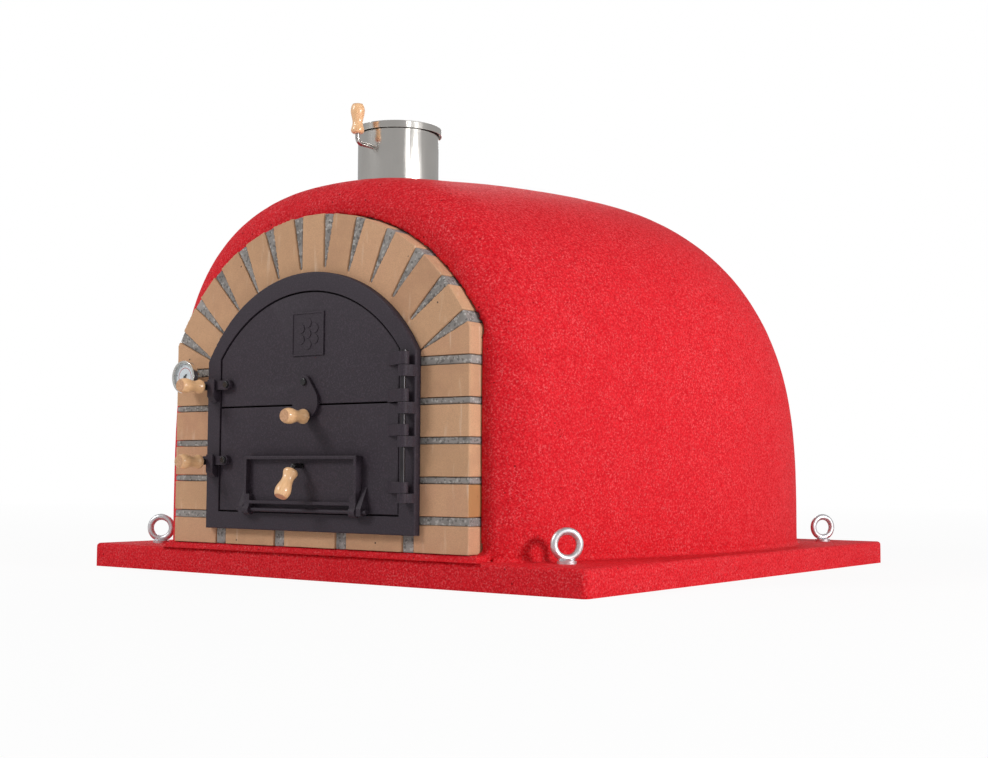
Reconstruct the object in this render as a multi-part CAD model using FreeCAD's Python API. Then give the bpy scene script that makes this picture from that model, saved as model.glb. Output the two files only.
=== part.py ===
import FreeCAD, Part
import math
import os

V = FreeCAD.Vector
X_AXIS = V(1, 0, 0)
Y_AXIS = V(0, 1, 0)
Z_AXIS = V(0, 0, 1)
OUT = V(0, -1, 0)

# Frame: +Z up, front faces -Y, origin at the centre of the slab's underside. All sizes in millimetres.

# ---- base slab -------------------------------------------------------------------------------------------
slab_side = 1000.0
slab_thickness = 39.0
slab_coat = 3.0
slab_edge_radius = 10.0
slab_corner_radius = 8.0

# ---- rendered dome ---------------------------------------------------------------------------------------
dome_half_width = 461.0
dome_height = 600.5
dome_front_y = -469.0
dome_rear_y = 476.0
dome_widest_y = 16.0
dome_highest_y = -82.0
front_half_width = 362.0
front_height = 571.0
bow_power = 1.5
shoulder_radius = 45.5
plan_power = 3.05
back_power = 2.63
back_root = 1.73
side_power_front = 2.3
side_power_rear = 3.6
roof_power_front = 3.97
roof_power_rear = 3.6
rear_trim = 0.8
render_thickness = 14.0
insulation_thickness = 50.0
refractory_thickness = 50.0
refractory_front_y = -240.0
bed_height = 9.0
bed_margin = 16.0
bed_front_lap = 3.0

# ---- brick front -----------------------------------------------------------------------------------------
brick_front_y = -495.0
brick_depth = 46.0
brick_length = 110.0
frame_lap = 22.0
arch_centre_z = 215.0
arch_radius_extra = 35.0
voussoir_count = 11
voussoir_pitch = 11.0
voussoir_width = 45.5
voussoir_gap = 0.3
brick_seam = 0.8
mortar_recess = 1.5
mortar_side_recess = 0.3
mortar_start = 3.0
sill_brick_height = 40.0
sill_joint = 21.0
sill_joint_x = 64.0
pier_first_z = 100.0
pier_brick_height = 46.0
pier_joint = 10.0
pier_courses = 4
springer_z = 327.0

# ---- oven inside -----------------------------------------------------------------------------------------
board_thickness = 30.0
tile_thickness = 30.0
tile_side = 200.0
tile_joint = 1.5
vault_thickness = 45.0
threshold_depth = 36.5

# ---- cast-iron door frame and leaves ---------------------------------------------------------------------
leaf_half_width = 184.5
leaf_bottom_z = 101.4
leaf_centre_z = 206.0
leaf_radius_extra = 42.5
leaf_front_y = -506.0
leaf_thickness = 10.0
leaf_split_z = 262.5
leaf_gap = 2.4
frame_front_y = -507.0
frame_side = 31.5
frame_foot = 28.7
frame_centre_rise = 12.0
frame_radius_extra = 19.0
frame_bevel = 2.5
rebate_lip = 7.0
rebate_wall = 5.0
rebate_depth = 9.0
anchor_radius = 3.5
anchor_length = 34.0
anchor_inset = 13.0

# ---- hinge -----------------------------------------------------------------------------------------------
hinge_offset = 20.5
hinge_y = -520.0
hinge_rod_radius = 3.5
barrel_radius = 8.0
running_gap = 0.06
hinge_rod_z = (118.0, 333.2)
hinge_rod_head = 2.0
frame_lug_z = ((298.0, 314.2), (245.0, 261.4), (198.0, 213.2), (119.0, 132.2))
upper_strap_z = ((315.0, 333.0), (262.2, 280.0))
lower_strap_z = ((214.0, 230.0), (133.0, 148.5))

# ---- latches ---------------------------------------------------------------------------------------------
upper_latch_inset = 19.5
upper_latch_z = 298.5
lower_latch_inset = 16.5
lower_latch_z = 180.0
latch_arm_half_height = 8.0
latch_arm_thickness = 6.0
latch_arm_overhang = 2.0
latch_standoff = 2.5
latch_knob_inset = 8.0
keeper_inset = 13.0
keeper_width = 15.0
keeper_rise = 8.5
keeper_drop = 27.0
keeper_plate = 4.2
keeper_clearance = 1.2
pivot_radius = 4.0
pivot_head_radius = 5.5
pivot_head_height = 3.5
nut_radius = 6.5
nut_height = 5.0
centre_pivot = (2.0, 297.0)
centre_plate_top_radius = 10.0
centre_plate_low = (4.0, 267.0)
centre_plate_low_radius = 26.0
centre_plate_thickness = 5.0
centre_plate_standoff = 1.0
centre_knob = (8.5, 244.5)

# ---- wooden knobs ----------------------------------------------------------------------------------------
knob_length = 45.0
knob_radius = 12.0
knob_screw_radius = 2.5
ferrule_radius = 5.0
ferrule_length = 10.5
centre_ferrule_length = 2.5

# ---- draught flap ----------------------------------------------------------------------------------------
flap_half_width = 116.0
flap_top_z = 186.0
flap_bottom_z = 113.0
flap_rim = 5.0
flap_depth = 13.0
flap_plate = 4.0
flap_standoff = 1.0
flap_pivot_y = -515.2
flap_pivot_z = 104.0
flap_rod_radius = 3.0
flap_ear_width = 12.0
flap_ear_radius = 7.8
flap_lug_gap = 1.5
flap_lug_width = 9.0
flap_lug_top = 36.0
flap_rod_end = 7.0
draught_half_width = 104.0
draught_z = (120.0, 174.0)
flap_stem_z = 171.0
flap_stem_radius = 4.0
flap_stem_reach = 18.5
flap_knob_tilt = 30.0
flap_knob_length = 46.0

# ---- cast ornament on the upper leaf ---------------------------------------------------------------------
ornament_x = 4.0
ornament_drop = 63.0
ornament_size = 66.0
ornament_base = 1.2
ornament_rim = 2.5
ornament_relief = 1.0
petal_count = 6

# ---- thermometer -----------------------------------------------------------------------------------------
gauge_offset = 58.0
gauge_z = 312.5
gauge_radius = 25.0
gauge_depth = 10.0
gauge_wall = 1.5
gauge_seat_radius = 9.0
gauge_seat_gap = 23.0
bezel_lip = 1.0
bezel_depth = 5.0
bezel_band = 2.2
lens_thickness = 1.2
dial_thickness = 1.0
dial_drop = 4.8
needle_thickness = 0.8
needle_length = 16.0
needle_tail = 6.0
needle_rest = 225.0
needle_hub = 2.2
needle_pin = 1.0
probe_radius = 4.0
probe_end_y = -176.0

# ---- flue and damper -------------------------------------------------------------------------------------
flue_y = -298.0
flue_radius = 66.0
flue_wall = 1.5
flue_rise = 83.5
flue_seat_depth = 21.5
throat_lip = 4.0
gasket_width = 4.0
rim_overhang = 5.0
rim_height = 11.0
rim_sheet = 1.5
damper_drop = 40.0
damper_clearance = 2.0
damper_disc_thickness = 2.0
damper_rod_radius = 3.5
damper_rod_reach = 24.5
damper_rod_rear = 8.0
damper_bend = 9.0
damper_knob_rise = 15.0
damper_knob_length = 47.0
damper_knob_radius = 11.2
damper_screw_y = 32.0

# ---- lifting eyes ----------------------------------------------------------------------------------------
eye_inset_x = 77.0
eye_inset_y = 72.0
eye_outer_radius = 23.75
eye_inner_radius = 13.2
eye_centre_height = 26.0
eye_flange_radius = 13.5
eye_flange_height = 4.0
eye_shank_radius = 5.0
eye_shank_length = 24.0
socket_radius = 9.0
socket_length = 28.0
eye_turns = (57.0, 37.0, 37.0, 25.0)
eye_shifts = (8.0, -1.5, -8.0, 8.0)

# ---- worked-out places -----------------------------------------------------------------------------------
slab_top = slab_thickness
eye_x = slab_side / 2 - eye_inset_x
eye_y = slab_side / 2 - eye_inset_y
frame_half_width = leaf_half_width + frame_side
frame_bottom_z = leaf_bottom_z - frame_foot
frame_centre_z = leaf_centre_z + frame_centre_rise
leaf_radius = leaf_half_width + leaf_radius_extra
frame_outer_radius = leaf_radius + frame_radius_extra
arch_half_width = frame_half_width - frame_lap + brick_length
arch_outer_radius = arch_half_width + arch_radius_extra
hinge_x = leaf_half_width + hinge_offset
upper_latch_pivot = (upper_latch_inset - leaf_half_width, upper_latch_z)
lower_latch_pivot = (lower_latch_inset - leaf_half_width, lower_latch_z)
latch_arm_end_x = -frame_half_width - latch_arm_overhang
latch_knob_x = latch_arm_end_x + latch_knob_inset
keeper_x = (keeper_inset - frame_half_width, keeper_inset + keeper_width - frame_half_width)
ornament_centre = (ornament_x, leaf_centre_z + leaf_radius - ornament_drop)
brick_back_y = brick_front_y + brick_depth
bed_top = slab_top + bed_height
board_top = slab_top + board_thickness
hearth_top = board_top + tile_thickness
pier_inner_x = arch_half_width - brick_length
arch_inner_radius = arch_outer_radius - brick_length + 0.5
vault_half_width = pier_inner_x
vault_radius = arch_inner_radius
gauge_x = -pier_inner_x - gauge_offset
bezel_radius = gauge_radius + bezel_lip
bezel_opening = gauge_radius - bezel_band
flue_top_z = slab_top + dome_height + flue_rise
flue_bottom_z = arch_centre_z + vault_radius + flue_seat_depth
flue_throat = flue_radius - throat_lip
rim_radius = flue_radius + rim_overhang
damper_z = flue_top_z - damper_drop
damper_disc_radius = flue_radius - flue_wall - damper_clearance
damper_knob_z = damper_z + damper_knob_rise
leaf_back_y = leaf_front_y + leaf_thickness
arm_front_y = leaf_front_y - latch_standoff - latch_arm_thickness
frame_back_y = brick_front_y
sill_top = bed_top + sill_brick_height

os.makedirs("parts", exist_ok=True)


def save(name, shapes):
    """Writes one node; a list becomes a group of separate solids."""
    shape = Part.makeCompound(shapes) if isinstance(shapes, list) else shapes
    shape.exportStep("parts/" + name + ".step")


def box(x0, x1, y0, y1, z0, z1):
    return Part.makeBox(x1 - x0, y1 - y0, z1 - z0, V(x0, y0, z0))


def rod(radius, start, end):
    """Straight round bar between two points."""
    along = end - start
    return Part.makeCylinder(radius, along.Length, start, along)


def fused(shapes):
    shape = shapes[0].multiFuse(shapes[1:])
    return shape.removeSplitter()


def extruded(points, along):
    """Prism of a closed outline of straight sides."""
    wire = Part.makePolygon(points + [points[0]])
    return Part.Face(wire).extrude(along)


def arch_prism(half_width, bottom_z, centre_z, radius, y0, y1):
    """Upright-sided opening with a round head, as a prism along Y."""
    spring_z = centre_z + math.sqrt(radius**2 - half_width**2)
    low_left = V(-half_width, y0, bottom_z)
    low_right = V(half_width, y0, bottom_z)
    top_right = V(half_width, y0, spring_z)
    top_left = V(-half_width, y0, spring_z)
    crown = V(0, y0, centre_z + radius)
    edges = [
        Part.makeLine(low_left, low_right),
        Part.makeLine(low_right, top_right),
        Part.Arc(top_right, crown, top_left).toShape(),
        Part.makeLine(top_left, low_left),
    ]
    return Part.Face(Part.Wire(edges)).extrude(V(0, y1 - y0, 0))


def softened(shape, radius, wanted):
    """Rounds the edges of a shape for which wanted(edge) holds."""
    edges = [edge for edge in shape.Edges if wanted(edge)]
    return shape.makeFillet(radius, edges)


def turned(profile, base, along):
    """Solid of revolution; profile lists (distance along, radius), smooth between its ends."""
    first = profile[0]
    last = profile[-1]
    curve = Part.BSplineCurve()
    curve.interpolate([V(r, 0, s) for s, r in profile])
    edges = [
        curve.toShape(),
        Part.makeLine(V(last[1], 0, last[0]), V(0, 0, last[0])),
        Part.makeLine(V(0, 0, last[0]), V(0, 0, first[0])),
        Part.makeLine(V(0, 0, first[0]), V(first[1], 0, first[0])),
    ]
    solid = Part.Face(Part.Wire(edges)).revolve(V(0, 0, 0), Z_AXIS, 360)
    turn = FreeCAD.Rotation(Z_AXIS, along)
    solid.Placement = FreeCAD.Placement(base, turn)
    return solid


def knob(base, along, length, radius, bore):
    """Turned wooden knob: collar, waist, full bulb cut off flat, with a blind screw hole in its collar."""
    profile = [
        (0.0, 0.62 * radius),
        (0.03 * length, 0.82 * radius),
        (0.10 * length, 0.94 * radius),
        (0.20 * length, 0.86 * radius),
        (0.34 * length, 0.73 * radius),
        (0.50 * length, 0.79 * radius),
        (0.66 * length, 0.95 * radius),
        (0.78 * length, 1.00 * radius),
        (0.90 * length, 0.93 * radius),
        (0.97 * length, 0.82 * radius),
        (length, 0.74 * radius),
    ]
    hole = rod(bore, base, base + along * (0.4 * length))
    return turned(profile, base, along).cut(hole)


def knob_screw(base, along, ferrule, length, bore):
    """Black ferrule with the screw that runs on into the knob."""
    collar = rod(ferrule_radius, base, base + along * ferrule)
    screw = rod(bore, base, base + along * (ferrule + 0.38 * length))
    return fused([collar, screw])


# ---- dome surface ----------------------------------------------------------------------------------------
def dome_size(y, inset):
    """Half-width and height of the dome's cross-section at y, for a layer inset from the outer face."""
    y_end = dome_rear_y - inset
    stretch = (dome_rear_y - dome_widest_y) / (y_end - dome_widest_y)
    yo = dome_widest_y + (y - dome_widest_y) * stretch if y > dome_widest_y else y
    if yo > dome_widest_y:
        r = (yo - dome_widest_y) / (dome_rear_y - dome_widest_y)
        width = dome_half_width * (1.0 - r**plan_power) ** (1.0 / plan_power)
        width = width * (dome_half_width - inset) / dome_half_width
    else:
        f = (dome_widest_y - yo) / (dome_widest_y - dome_front_y)
        width = dome_half_width - (dome_half_width - front_half_width) * f**bow_power - inset
    if yo > dome_highest_y:
        r = (yo - dome_highest_y) / (dome_rear_y - dome_highest_y)
        height = dome_height * (1.0 - r**back_power) ** (1.0 / back_root)
        height = height * (dome_height - inset) / dome_height
    else:
        f = (dome_highest_y - yo) / (dome_highest_y - dome_front_y)
        height = dome_height - (dome_height - front_height) * f * f - inset
    radius = shoulder_radius - inset
    reach = dome_front_y + shoulder_radius - y
    if radius > 0 and reach > 0:
        q = min(reach / radius, 1.0)
        drop = radius * (1.0 - math.sqrt(1.0 - q * q))
        width -= drop
        height -= drop
    return width, height


def dome_wire(y, inset):
    """Cross-section of the dome at y: a flat foot and a round-shouldered arch."""
    width, height = dome_size(y, inset)
    f = (y - dome_front_y) / (dome_rear_y - dome_front_y)
    side_power = side_power_front + (side_power_rear - side_power_front) * f
    roof_power = roof_power_front + (roof_power_rear - roof_power_front) * f
    mean = 0.5 * (side_power + roof_power)
    steps = 24
    points = []
    marks = []
    for k in range(steps + 1):
        turn = math.pi * k / steps
        c = abs(math.cos(turn))
        s = abs(math.sin(turn))
        around = math.atan2(s ** (0.5 * mean), c ** (0.5 * mean))
        side = 1.0 if 2 * k <= steps else -1.0
        x = side * width * abs(math.cos(around)) ** (2.0 / side_power)
        z = height * abs(math.sin(around)) ** (2.0 / roof_power)
        if k in (0, steps):
            z = 0.0
        if 2 * k == steps:
            x = 0.0
        points.append(V(x, y, slab_top + z))
        marks.append(turn)
    curve = Part.BSplineCurve()
    curve.interpolate(Points=points, Parameters=marks)
    foot = Part.makeLine(points[-1], points[0])
    return Part.Wire([curve.toShape(), foot])


def dome_solid(inset, front_y):
    """The dome's outer shape, or a layer inside it, from front_y to the back."""
    radius = shoulder_radius - inset
    places = []
    if front_y < dome_front_y + shoulder_radius:
        for degrees in (0.0, 25.0, 48.0, 70.0, 90.0):
            places.append(dome_front_y + shoulder_radius - radius * math.cos(math.radians(degrees)))
    else:
        places.append(front_y)
    start_y = places[-1]
    steps = 6
    for k in range(1, steps):
        places.append(start_y + (dome_widest_y - start_y) * k / steps)
    end_y = dome_rear_y - inset - rear_trim
    steps = 11
    for k in range(steps + 1):
        turn = 0.5 * math.pi * k / steps
        places.append(dome_widest_y + (end_y - dome_widest_y) * math.sin(turn))
    return Part.makeLoft([dome_wire(y, inset) for y in places], True)


def build_slab():
    outer = box(-slab_side / 2, slab_side / 2, -slab_side / 2, slab_side / 2, 0, slab_thickness)
    outer = softened(outer, slab_corner_radius, lambda e: abs(e.tangentAt(e.FirstParameter).z) > 0.9)
    outer = softened(outer, slab_edge_radius * 0.6, lambda e: e.BoundBox.ZMin > slab_thickness - 0.1)
    half = slab_side / 2 - slab_coat
    core = box(-half, half, -half, half, 0, slab_thickness - slab_coat)
    core = softened(core, slab_corner_radius, lambda e: abs(e.tangentAt(e.FirstParameter).z) > 0.9)
    sockets = []
    eyes = []
    places = ((-eye_x, -eye_y), (eye_x, -eye_y), (eye_x, eye_y), (-eye_x, eye_y))
    coat = outer.cut(core)
    for (x, y), turn, shift in zip(places, eye_turns, eye_shifts):
        top = V(x + shift, y, slab_top)
        hole = rod(socket_radius, top - Z_AXIS * socket_length, top)
        bore = rod(eye_shank_radius, top - Z_AXIS * eye_shank_length, top)
        core = core.cut(hole)
        coat = coat.cut(hole)
        sockets.append(hole.cut(bore))
        eyes.append(build_eye(top, turn))
    save("slab_core", core)
    save("slab_coat", coat)
    save("lifting_sockets", sockets)
    save("lifting_eyes", eyes)


def build_eye(top, turn):
    """Forged lifting eye: ring, neck, flange and threaded shank."""
    tube = (eye_outer_radius - eye_inner_radius) / 2
    facing = V(math.cos(math.radians(turn)), -math.sin(math.radians(turn)), 0)
    centre = top + Z_AXIS * eye_centre_height
    ring = Part.makeTorus(eye_inner_radius + tube, tube, centre, facing)
    flange = rod(eye_flange_radius, top, top + Z_AXIS * eye_flange_height)
    neck_height = eye_centre_height - eye_inner_radius - tube - eye_flange_height
    neck = Part.makeCone(eye_flange_radius - 2, tube, neck_height, top + Z_AXIS * eye_flange_height)
    shank = rod(eye_shank_radius, top - Z_AXIS * eye_shank_length, top)
    return fused([ring, neck, flange, shank])


def build_shell():
    """Render, insulation, refractory dome, entry vault, hearth board and tiles."""
    seam = brick_seam
    envelope = arch_prism(
        arch_half_width + 0.5,
        bed_top,
        arch_centre_z,
        arch_outer_radius + seam + 0.5,
        brick_front_y - 20,
        brick_back_y,
    )
    foot = box(-arch_half_width, arch_half_width, brick_front_y, brick_back_y, slab_top, bed_top)
    flue_hole = rod(flue_radius, V(0, flue_y, flue_bottom_z), V(0, flue_y, flue_top_z))
    probe = rod(probe_radius, V(gauge_x, brick_front_y, gauge_z), V(gauge_x, probe_end_y, gauge_z))
    outer = dome_solid(0.0, dome_front_y)
    inner = dome_solid(render_thickness, dome_front_y + render_thickness)
    bed_side = arch_half_width + bed_margin
    bed = box(-bed_side, bed_side, brick_front_y - bed_front_lap, brick_back_y, slab_top, bed_top)
    bed = softened(bed, 6.0, lambda e: e.BoundBox.ZMin > bed_top - 0.1 and e.BoundBox.YMax < brick_back_y - 1)
    render = fused([outer, bed]).cut(inner).cut(envelope).cut(flue_hole)
    save("dome_render", render)

    depth = render_thickness + insulation_thickness
    vault_outer = arch_prism(
        vault_half_width + vault_thickness,
        slab_top,
        arch_centre_z,
        vault_radius + vault_thickness,
        brick_back_y,
        refractory_front_y,
    )
    vault_inner = arch_prism(
        vault_half_width, slab_top, arch_centre_z, vault_radius, brick_back_y, refractory_front_y
    )
    dome_outer = dome_solid(depth, refractory_front_y)
    cavity = dome_solid(depth + refractory_thickness, refractory_front_y + refractory_thickness)
    mouth = arch_prism(
        vault_half_width,
        slab_top,
        arch_centre_z,
        vault_radius,
        refractory_front_y,
        refractory_front_y + refractory_thickness + 30,
    )
    gasket_top = arch_centre_z + vault_radius + vault_thickness - 3.0
    gasket = rod(flue_radius + gasket_width, V(0, flue_y, flue_bottom_z), V(0, flue_y, gasket_top))
    insulation = inner.cut(envelope).cut(foot).cut(vault_outer).cut(dome_outer)
    save("dome_insulation", insulation.cut(flue_hole).cut(gasket).cut(probe))
    refractory = dome_outer.cut(cavity).cut(mouth)
    save("refractory_dome", refractory.cut(flue_hole).cut(gasket).cut(probe))
    seat = rod(flue_radius + gasket_width, V(0, flue_y, flue_bottom_z), V(0, flue_y, flue_top_z))
    throat = rod(flue_throat, V(0, flue_y, arch_centre_z), V(0, flue_y, flue_top_z))
    save("entry_vault", vault_outer.cut(vault_inner).cut(seat).cut(throat))
    save("flue_gasket", gasket.cut(flue_hole))

    inside = fused([cavity, mouth, vault_inner])
    board_box = box(-slab_side, slab_side, -slab_side, slab_side, slab_top, board_top)
    save("hearth_insulation", inside.common(board_box))
    tiles = []
    rows = int(slab_side / tile_side) + 1
    for i in range(-rows, rows):
        for j in range(-rows, rows):
            x0 = (i - 0.5) * tile_side
            y0 = brick_back_y + j * tile_side
            cell = box(
                x0 + tile_joint / 2,
                x0 + tile_side - tile_joint / 2,
                y0 + tile_joint / 2,
                y0 + tile_side - tile_joint / 2,
                board_top,
                hearth_top,
            )
            piece = inside.common(cell)
            tiles += [solid for solid in piece.Solids if solid.Volume > 20.0 * tile_side]
    save("hearth_tiles", tiles)
    threshold = box(
        -vault_half_width,
        vault_half_width,
        brick_back_y - threshold_depth,
        brick_back_y,
        sill_top,
        hearth_top,
    )
    save("threshold_tile", threshold)


def around_arch(angle, offset, radius, y):
    """Point at a distance along and beside the arch's radius that leans right by angle degrees."""
    a = math.radians(angle)
    x = radius * math.sin(a) + offset * math.cos(a)
    z = arch_centre_z + radius * math.cos(a) - offset * math.sin(a)
    return V(x, y, z)


def joint_half_width(radius):
    """Half the width of a mortar wedge between two square-sided bricks, at a radius along its middle."""
    half_pitch = math.radians(voussoir_pitch / 2)
    return radius * math.tan(half_pitch) - 0.5 * voussoir_width / math.cos(half_pitch)


def build_bricks():
    half_pitch = math.radians(voussoir_pitch / 2)
    half = voussoir_width / 2
    touch = (half + voussoir_gap) / math.tan(half_pitch)
    inner_half = arch_inner_radius * math.tan(half_pitch) - voussoir_gap
    y = brick_front_y
    depth = V(0, brick_depth, 0)
    bricks = []
    for k in range(voussoir_count):
        angle = (k - (voussoir_count - 1) / 2) * voussoir_pitch
        outline = [
            (-inner_half, arch_inner_radius),
            (inner_half, arch_inner_radius),
            (half, touch),
            (half, arch_outer_radius),
            (-half, arch_outer_radius),
            (-half, touch),
        ]
        points = [around_arch(angle, u, r, y) for u, r in outline]
        bricks.append(extruded(points, depth))
    save("arch_bricks", bricks)

    wedges = []
    y_mortar = y + mortar_recess
    depth_mortar = V(0, brick_depth - mortar_recess, 0)
    wedge_in = touch + mortar_start
    wedge_out = arch_outer_radius - mortar_side_recess
    for k in range(voussoir_count + 1):
        angle = (k - voussoir_count / 2) * voussoir_pitch
        low = joint_half_width(wedge_in)
        high = joint_half_width(wedge_out)
        corners = [(-low, wedge_in), (low, wedge_in), (high, wedge_out), (-high, wedge_out)]
        points = [around_arch(angle, u, r, y_mortar) for u, r in corners]
        wedges.append(extruded(points, depth_mortar))

    last = voussoir_count * voussoir_pitch / 2
    springers = []
    for side in (-1, 1):
        skew = side * joint_half_width(arch_outer_radius)
        joint_top = around_arch(side * last, skew, arch_outer_radius, y)
        joint_low = around_arch(side * last, side * joint_half_width(touch), touch, y)
        joint_in = around_arch(side * last, side * voussoir_gap, arch_inner_radius, y)
        spring_z = arch_centre_z + math.sqrt(arch_outer_radius**2 - arch_half_width**2)
        points = [
            V(side * pier_inner_x, y, springer_z),
            V(side * arch_half_width, y, springer_z),
            V(side * arch_half_width, y, spring_z),
            joint_top,
            joint_low,
            joint_in,
        ]
        springers.append(extruded(points, depth))
    save("springer_bricks", springers)

    courses = [pier_first_z + k * (pier_brick_height + pier_joint) for k in range(pier_courses)]
    gauge_hole = rod(probe_radius, V(gauge_x, y - 50, gauge_z), V(gauge_x, probe_end_y, gauge_z))
    piers = []
    joints = []
    beds = [sill_top] + [z + pier_brick_height for z in courses]
    tops = courses + [springer_z]
    for side in (-1, 1):
        x0, x1 = sorted((side * pier_inner_x, side * arch_half_width))
        for z in courses:
            brick = box(x0, x1, y, brick_back_y, z, z + pier_brick_height)
            piers.append(brick.cut(gauge_hole))
        sides = (side * (pier_inner_x + mortar_recess), side * (arch_half_width - mortar_side_recess))
        m0, m1 = sorted(sides)
        for z0, z1 in zip(beds, tops):
            joint = box(m0, m1, y_mortar, brick_back_y, z0, z1).cut(gauge_hole)
            for z_anchor in anchor_heights():
                joint = joint.cut(frame_anchor(side, z_anchor))
            joints.append(joint)
    save("pier_bricks", piers)
    save("arch_mortar", wedges)

    cuts = [-pier_inner_x, -sill_joint_x, sill_joint_x, pier_inner_x]
    ends = [-arch_half_width] + cuts + [arch_half_width]
    sill = []
    for k in range(len(ends) - 1):
        x0 = ends[k] + (sill_joint / 2 if k > 0 else 0)
        x1 = ends[k + 1] - (sill_joint / 2 if k < len(ends) - 2 else 0)
        sill.append(box(x0, x1, y, brick_back_y, bed_top, sill_top))
    save("sill_bricks", sill)
    for x in cuts:
        x0 = x - sill_joint / 2
        x1 = x + sill_joint / 2
        joints.append(box(x0, x1, y_mortar, brick_back_y, bed_top, sill_top))
    save("pier_mortar", joints)


def anchor_heights():
    first = pier_first_z + pier_brick_height + pier_joint / 2
    step = 2 * (pier_brick_height + pier_joint)
    return (first, first + step)


def frame_anchor(side, z):
    x = side * (frame_half_width - anchor_inset)
    return rod(anchor_radius, V(x, frame_back_y, z), V(x, frame_back_y + anchor_length, z))


def build_frame():
    outer = arch_prism(
        frame_half_width, frame_bottom_z, frame_centre_z, frame_outer_radius, frame_front_y, frame_back_y
    )
    outer = softened(outer, frame_bevel, lambda e: e.BoundBox.YMax < frame_front_y + 0.1)
    gap = leaf_gap
    opening = arch_prism(
        leaf_half_width + gap,
        leaf_bottom_z - gap,
        leaf_centre_z,
        leaf_radius + gap,
        frame_front_y - 5,
        frame_back_y,
    )
    ring_back = frame_back_y + rebate_depth
    wall = gap + rebate_wall
    sleeve = arch_prism(
        leaf_half_width + wall,
        leaf_bottom_z - wall,
        leaf_centre_z,
        leaf_radius + wall,
        frame_back_y,
        ring_back,
    )
    mouth = arch_prism(
        leaf_half_width - rebate_lip,
        leaf_bottom_z + rebate_lip,
        leaf_centre_z,
        leaf_radius - rebate_lip,
        frame_front_y - 5,
        ring_back + 5,
    )
    body = [outer.cut(opening), sleeve.cut(mouth)]
    for z0, z1 in frame_lug_z:
        body.append(frame_lug(z0, z1))
    bore = rod(
        hinge_rod_radius + running_gap,
        V(hinge_x, hinge_y, hinge_rod_z[0] - 5),
        V(hinge_x, hinge_y, hinge_rod_z[1] + 5),
    )
    save("door_frame", fused(body).cut(bore))
    anchors = [frame_anchor(side, z) for side in (-1, 1) for z in anchor_heights()]
    save("frame_anchors", anchors)
    low = V(hinge_x, hinge_y, hinge_rod_z[0])
    high = V(hinge_x, hinge_y, hinge_rod_z[1])
    head = rod(hinge_rod_radius + 2, high, high + Z_AXIS * hinge_rod_head)
    save("hinge_rod", fused([rod(hinge_rod_radius, low, high), head]))
    keepers = [keeper(z) for z in (upper_latch_pivot[1], lower_latch_pivot[1])]
    save("latch_keepers", keepers)


def frame_lug(z0, z1):
    """Knuckle cast on the frame: round barrel with a wedge running back to the frame face."""
    root_y = frame_front_y + 1
    points = [
        V(hinge_x - 7, hinge_y + 2, z0),
        V(hinge_x + 1, hinge_y - barrel_radius + 0.2, z0),
        V(hinge_x + 12, hinge_y + 6, z0),
        V(hinge_x + 12, root_y, z0),
        V(hinge_x - 7, root_y, z0),
    ]
    barrel = rod(barrel_radius, V(hinge_x, hinge_y, z0), V(hinge_x, hinge_y, z1))
    return fused([barrel, extruded(points, V(0, 0, z1 - z0))])


def leaf_strap(z0, z1):
    """Wedge-shaped strap and barrel cast on a door leaf."""
    points = [
        V(leaf_half_width - 22, leaf_front_y + 1, z0),
        V(hinge_x - 5, hinge_y - barrel_radius + 1.7, z0),
        V(hinge_x, hinge_y, z0),
        V(hinge_x - 5, hinge_y + barrel_radius - 1.7, z0),
        V(leaf_half_width - 0.5, leaf_front_y - 3, z0),
        V(leaf_half_width - 4, leaf_front_y + 1, z0),
    ]
    barrel = rod(barrel_radius, V(hinge_x, hinge_y, z0), V(hinge_x, hinge_y, z1))
    return fused([barrel, extruded(points, V(0, 0, z1 - z0))])


def keeper(pivot_z):
    """Hook on the frame, open at the top, that the latch arm drops into."""
    z_low = pivot_z - keeper_drop
    z_top = pivot_z + keeper_rise
    z_seat = pivot_z - latch_arm_half_height - 0.6
    plate_back = arm_front_y - keeper_clearance
    plate_front = plate_back - keeper_plate
    x0, x1 = keeper_x
    outline = [
        (frame_front_y, z_low),
        (frame_front_y - 7, z_low),
        (plate_front, z_low + 8),
        (plate_front, z_top),
        (plate_back, z_top),
        (plate_back, z_seat),
        (frame_front_y, z_seat),
    ]
    return extruded([V(x0, y, z) for y, z in outline], V(x1 - x0, 0, 0))


def leaf_plate(z0, z1):
    """The part of the door's outline between two heights."""
    whole = arch_prism(
        leaf_half_width, leaf_bottom_z, leaf_centre_z, leaf_radius, leaf_front_y, leaf_back_y
    )
    plate = whole.common(box(-slab_side, slab_side, leaf_front_y, leaf_back_y, z0, z1))
    return softened(plate, 1.2, lambda e: e.BoundBox.YMax < leaf_front_y + 0.1)


def hinge_bore():
    low = V(hinge_x, hinge_y, hinge_rod_z[0] - 5)
    high = V(hinge_x, hinge_y, hinge_rod_z[1] + 5)
    return rod(hinge_rod_radius + running_gap, low, high)


def pivot_bolt(x, z, front_y):
    """Round-headed bolt from the front of a latch through the leaf."""
    head = rod(pivot_head_radius, V(x, front_y - pivot_head_height, z), V(x, front_y - 0.3, z))
    head = softened(head, 1.5, lambda e: e.BoundBox.YMax < front_y - pivot_head_height + 0.1)
    shank = rod(pivot_radius, V(x, front_y - 1, z), V(x, leaf_back_y + nut_height + 1, z))
    return fused([head, shank])


def pivot_nut(x, z):
    """Hexagon nut behind the leaf."""
    points = []
    for k in range(6):
        a = math.radians(60 * k + 30)
        points.append(V(x + nut_radius * math.cos(a), leaf_back_y, z + nut_radius * math.sin(a)))
    nut = extruded(points, V(0, nut_height, 0))
    return nut.cut(rod(pivot_radius, V(x, leaf_back_y - 1, z), V(x, leaf_back_y + nut_height + 1, z)))


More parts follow.
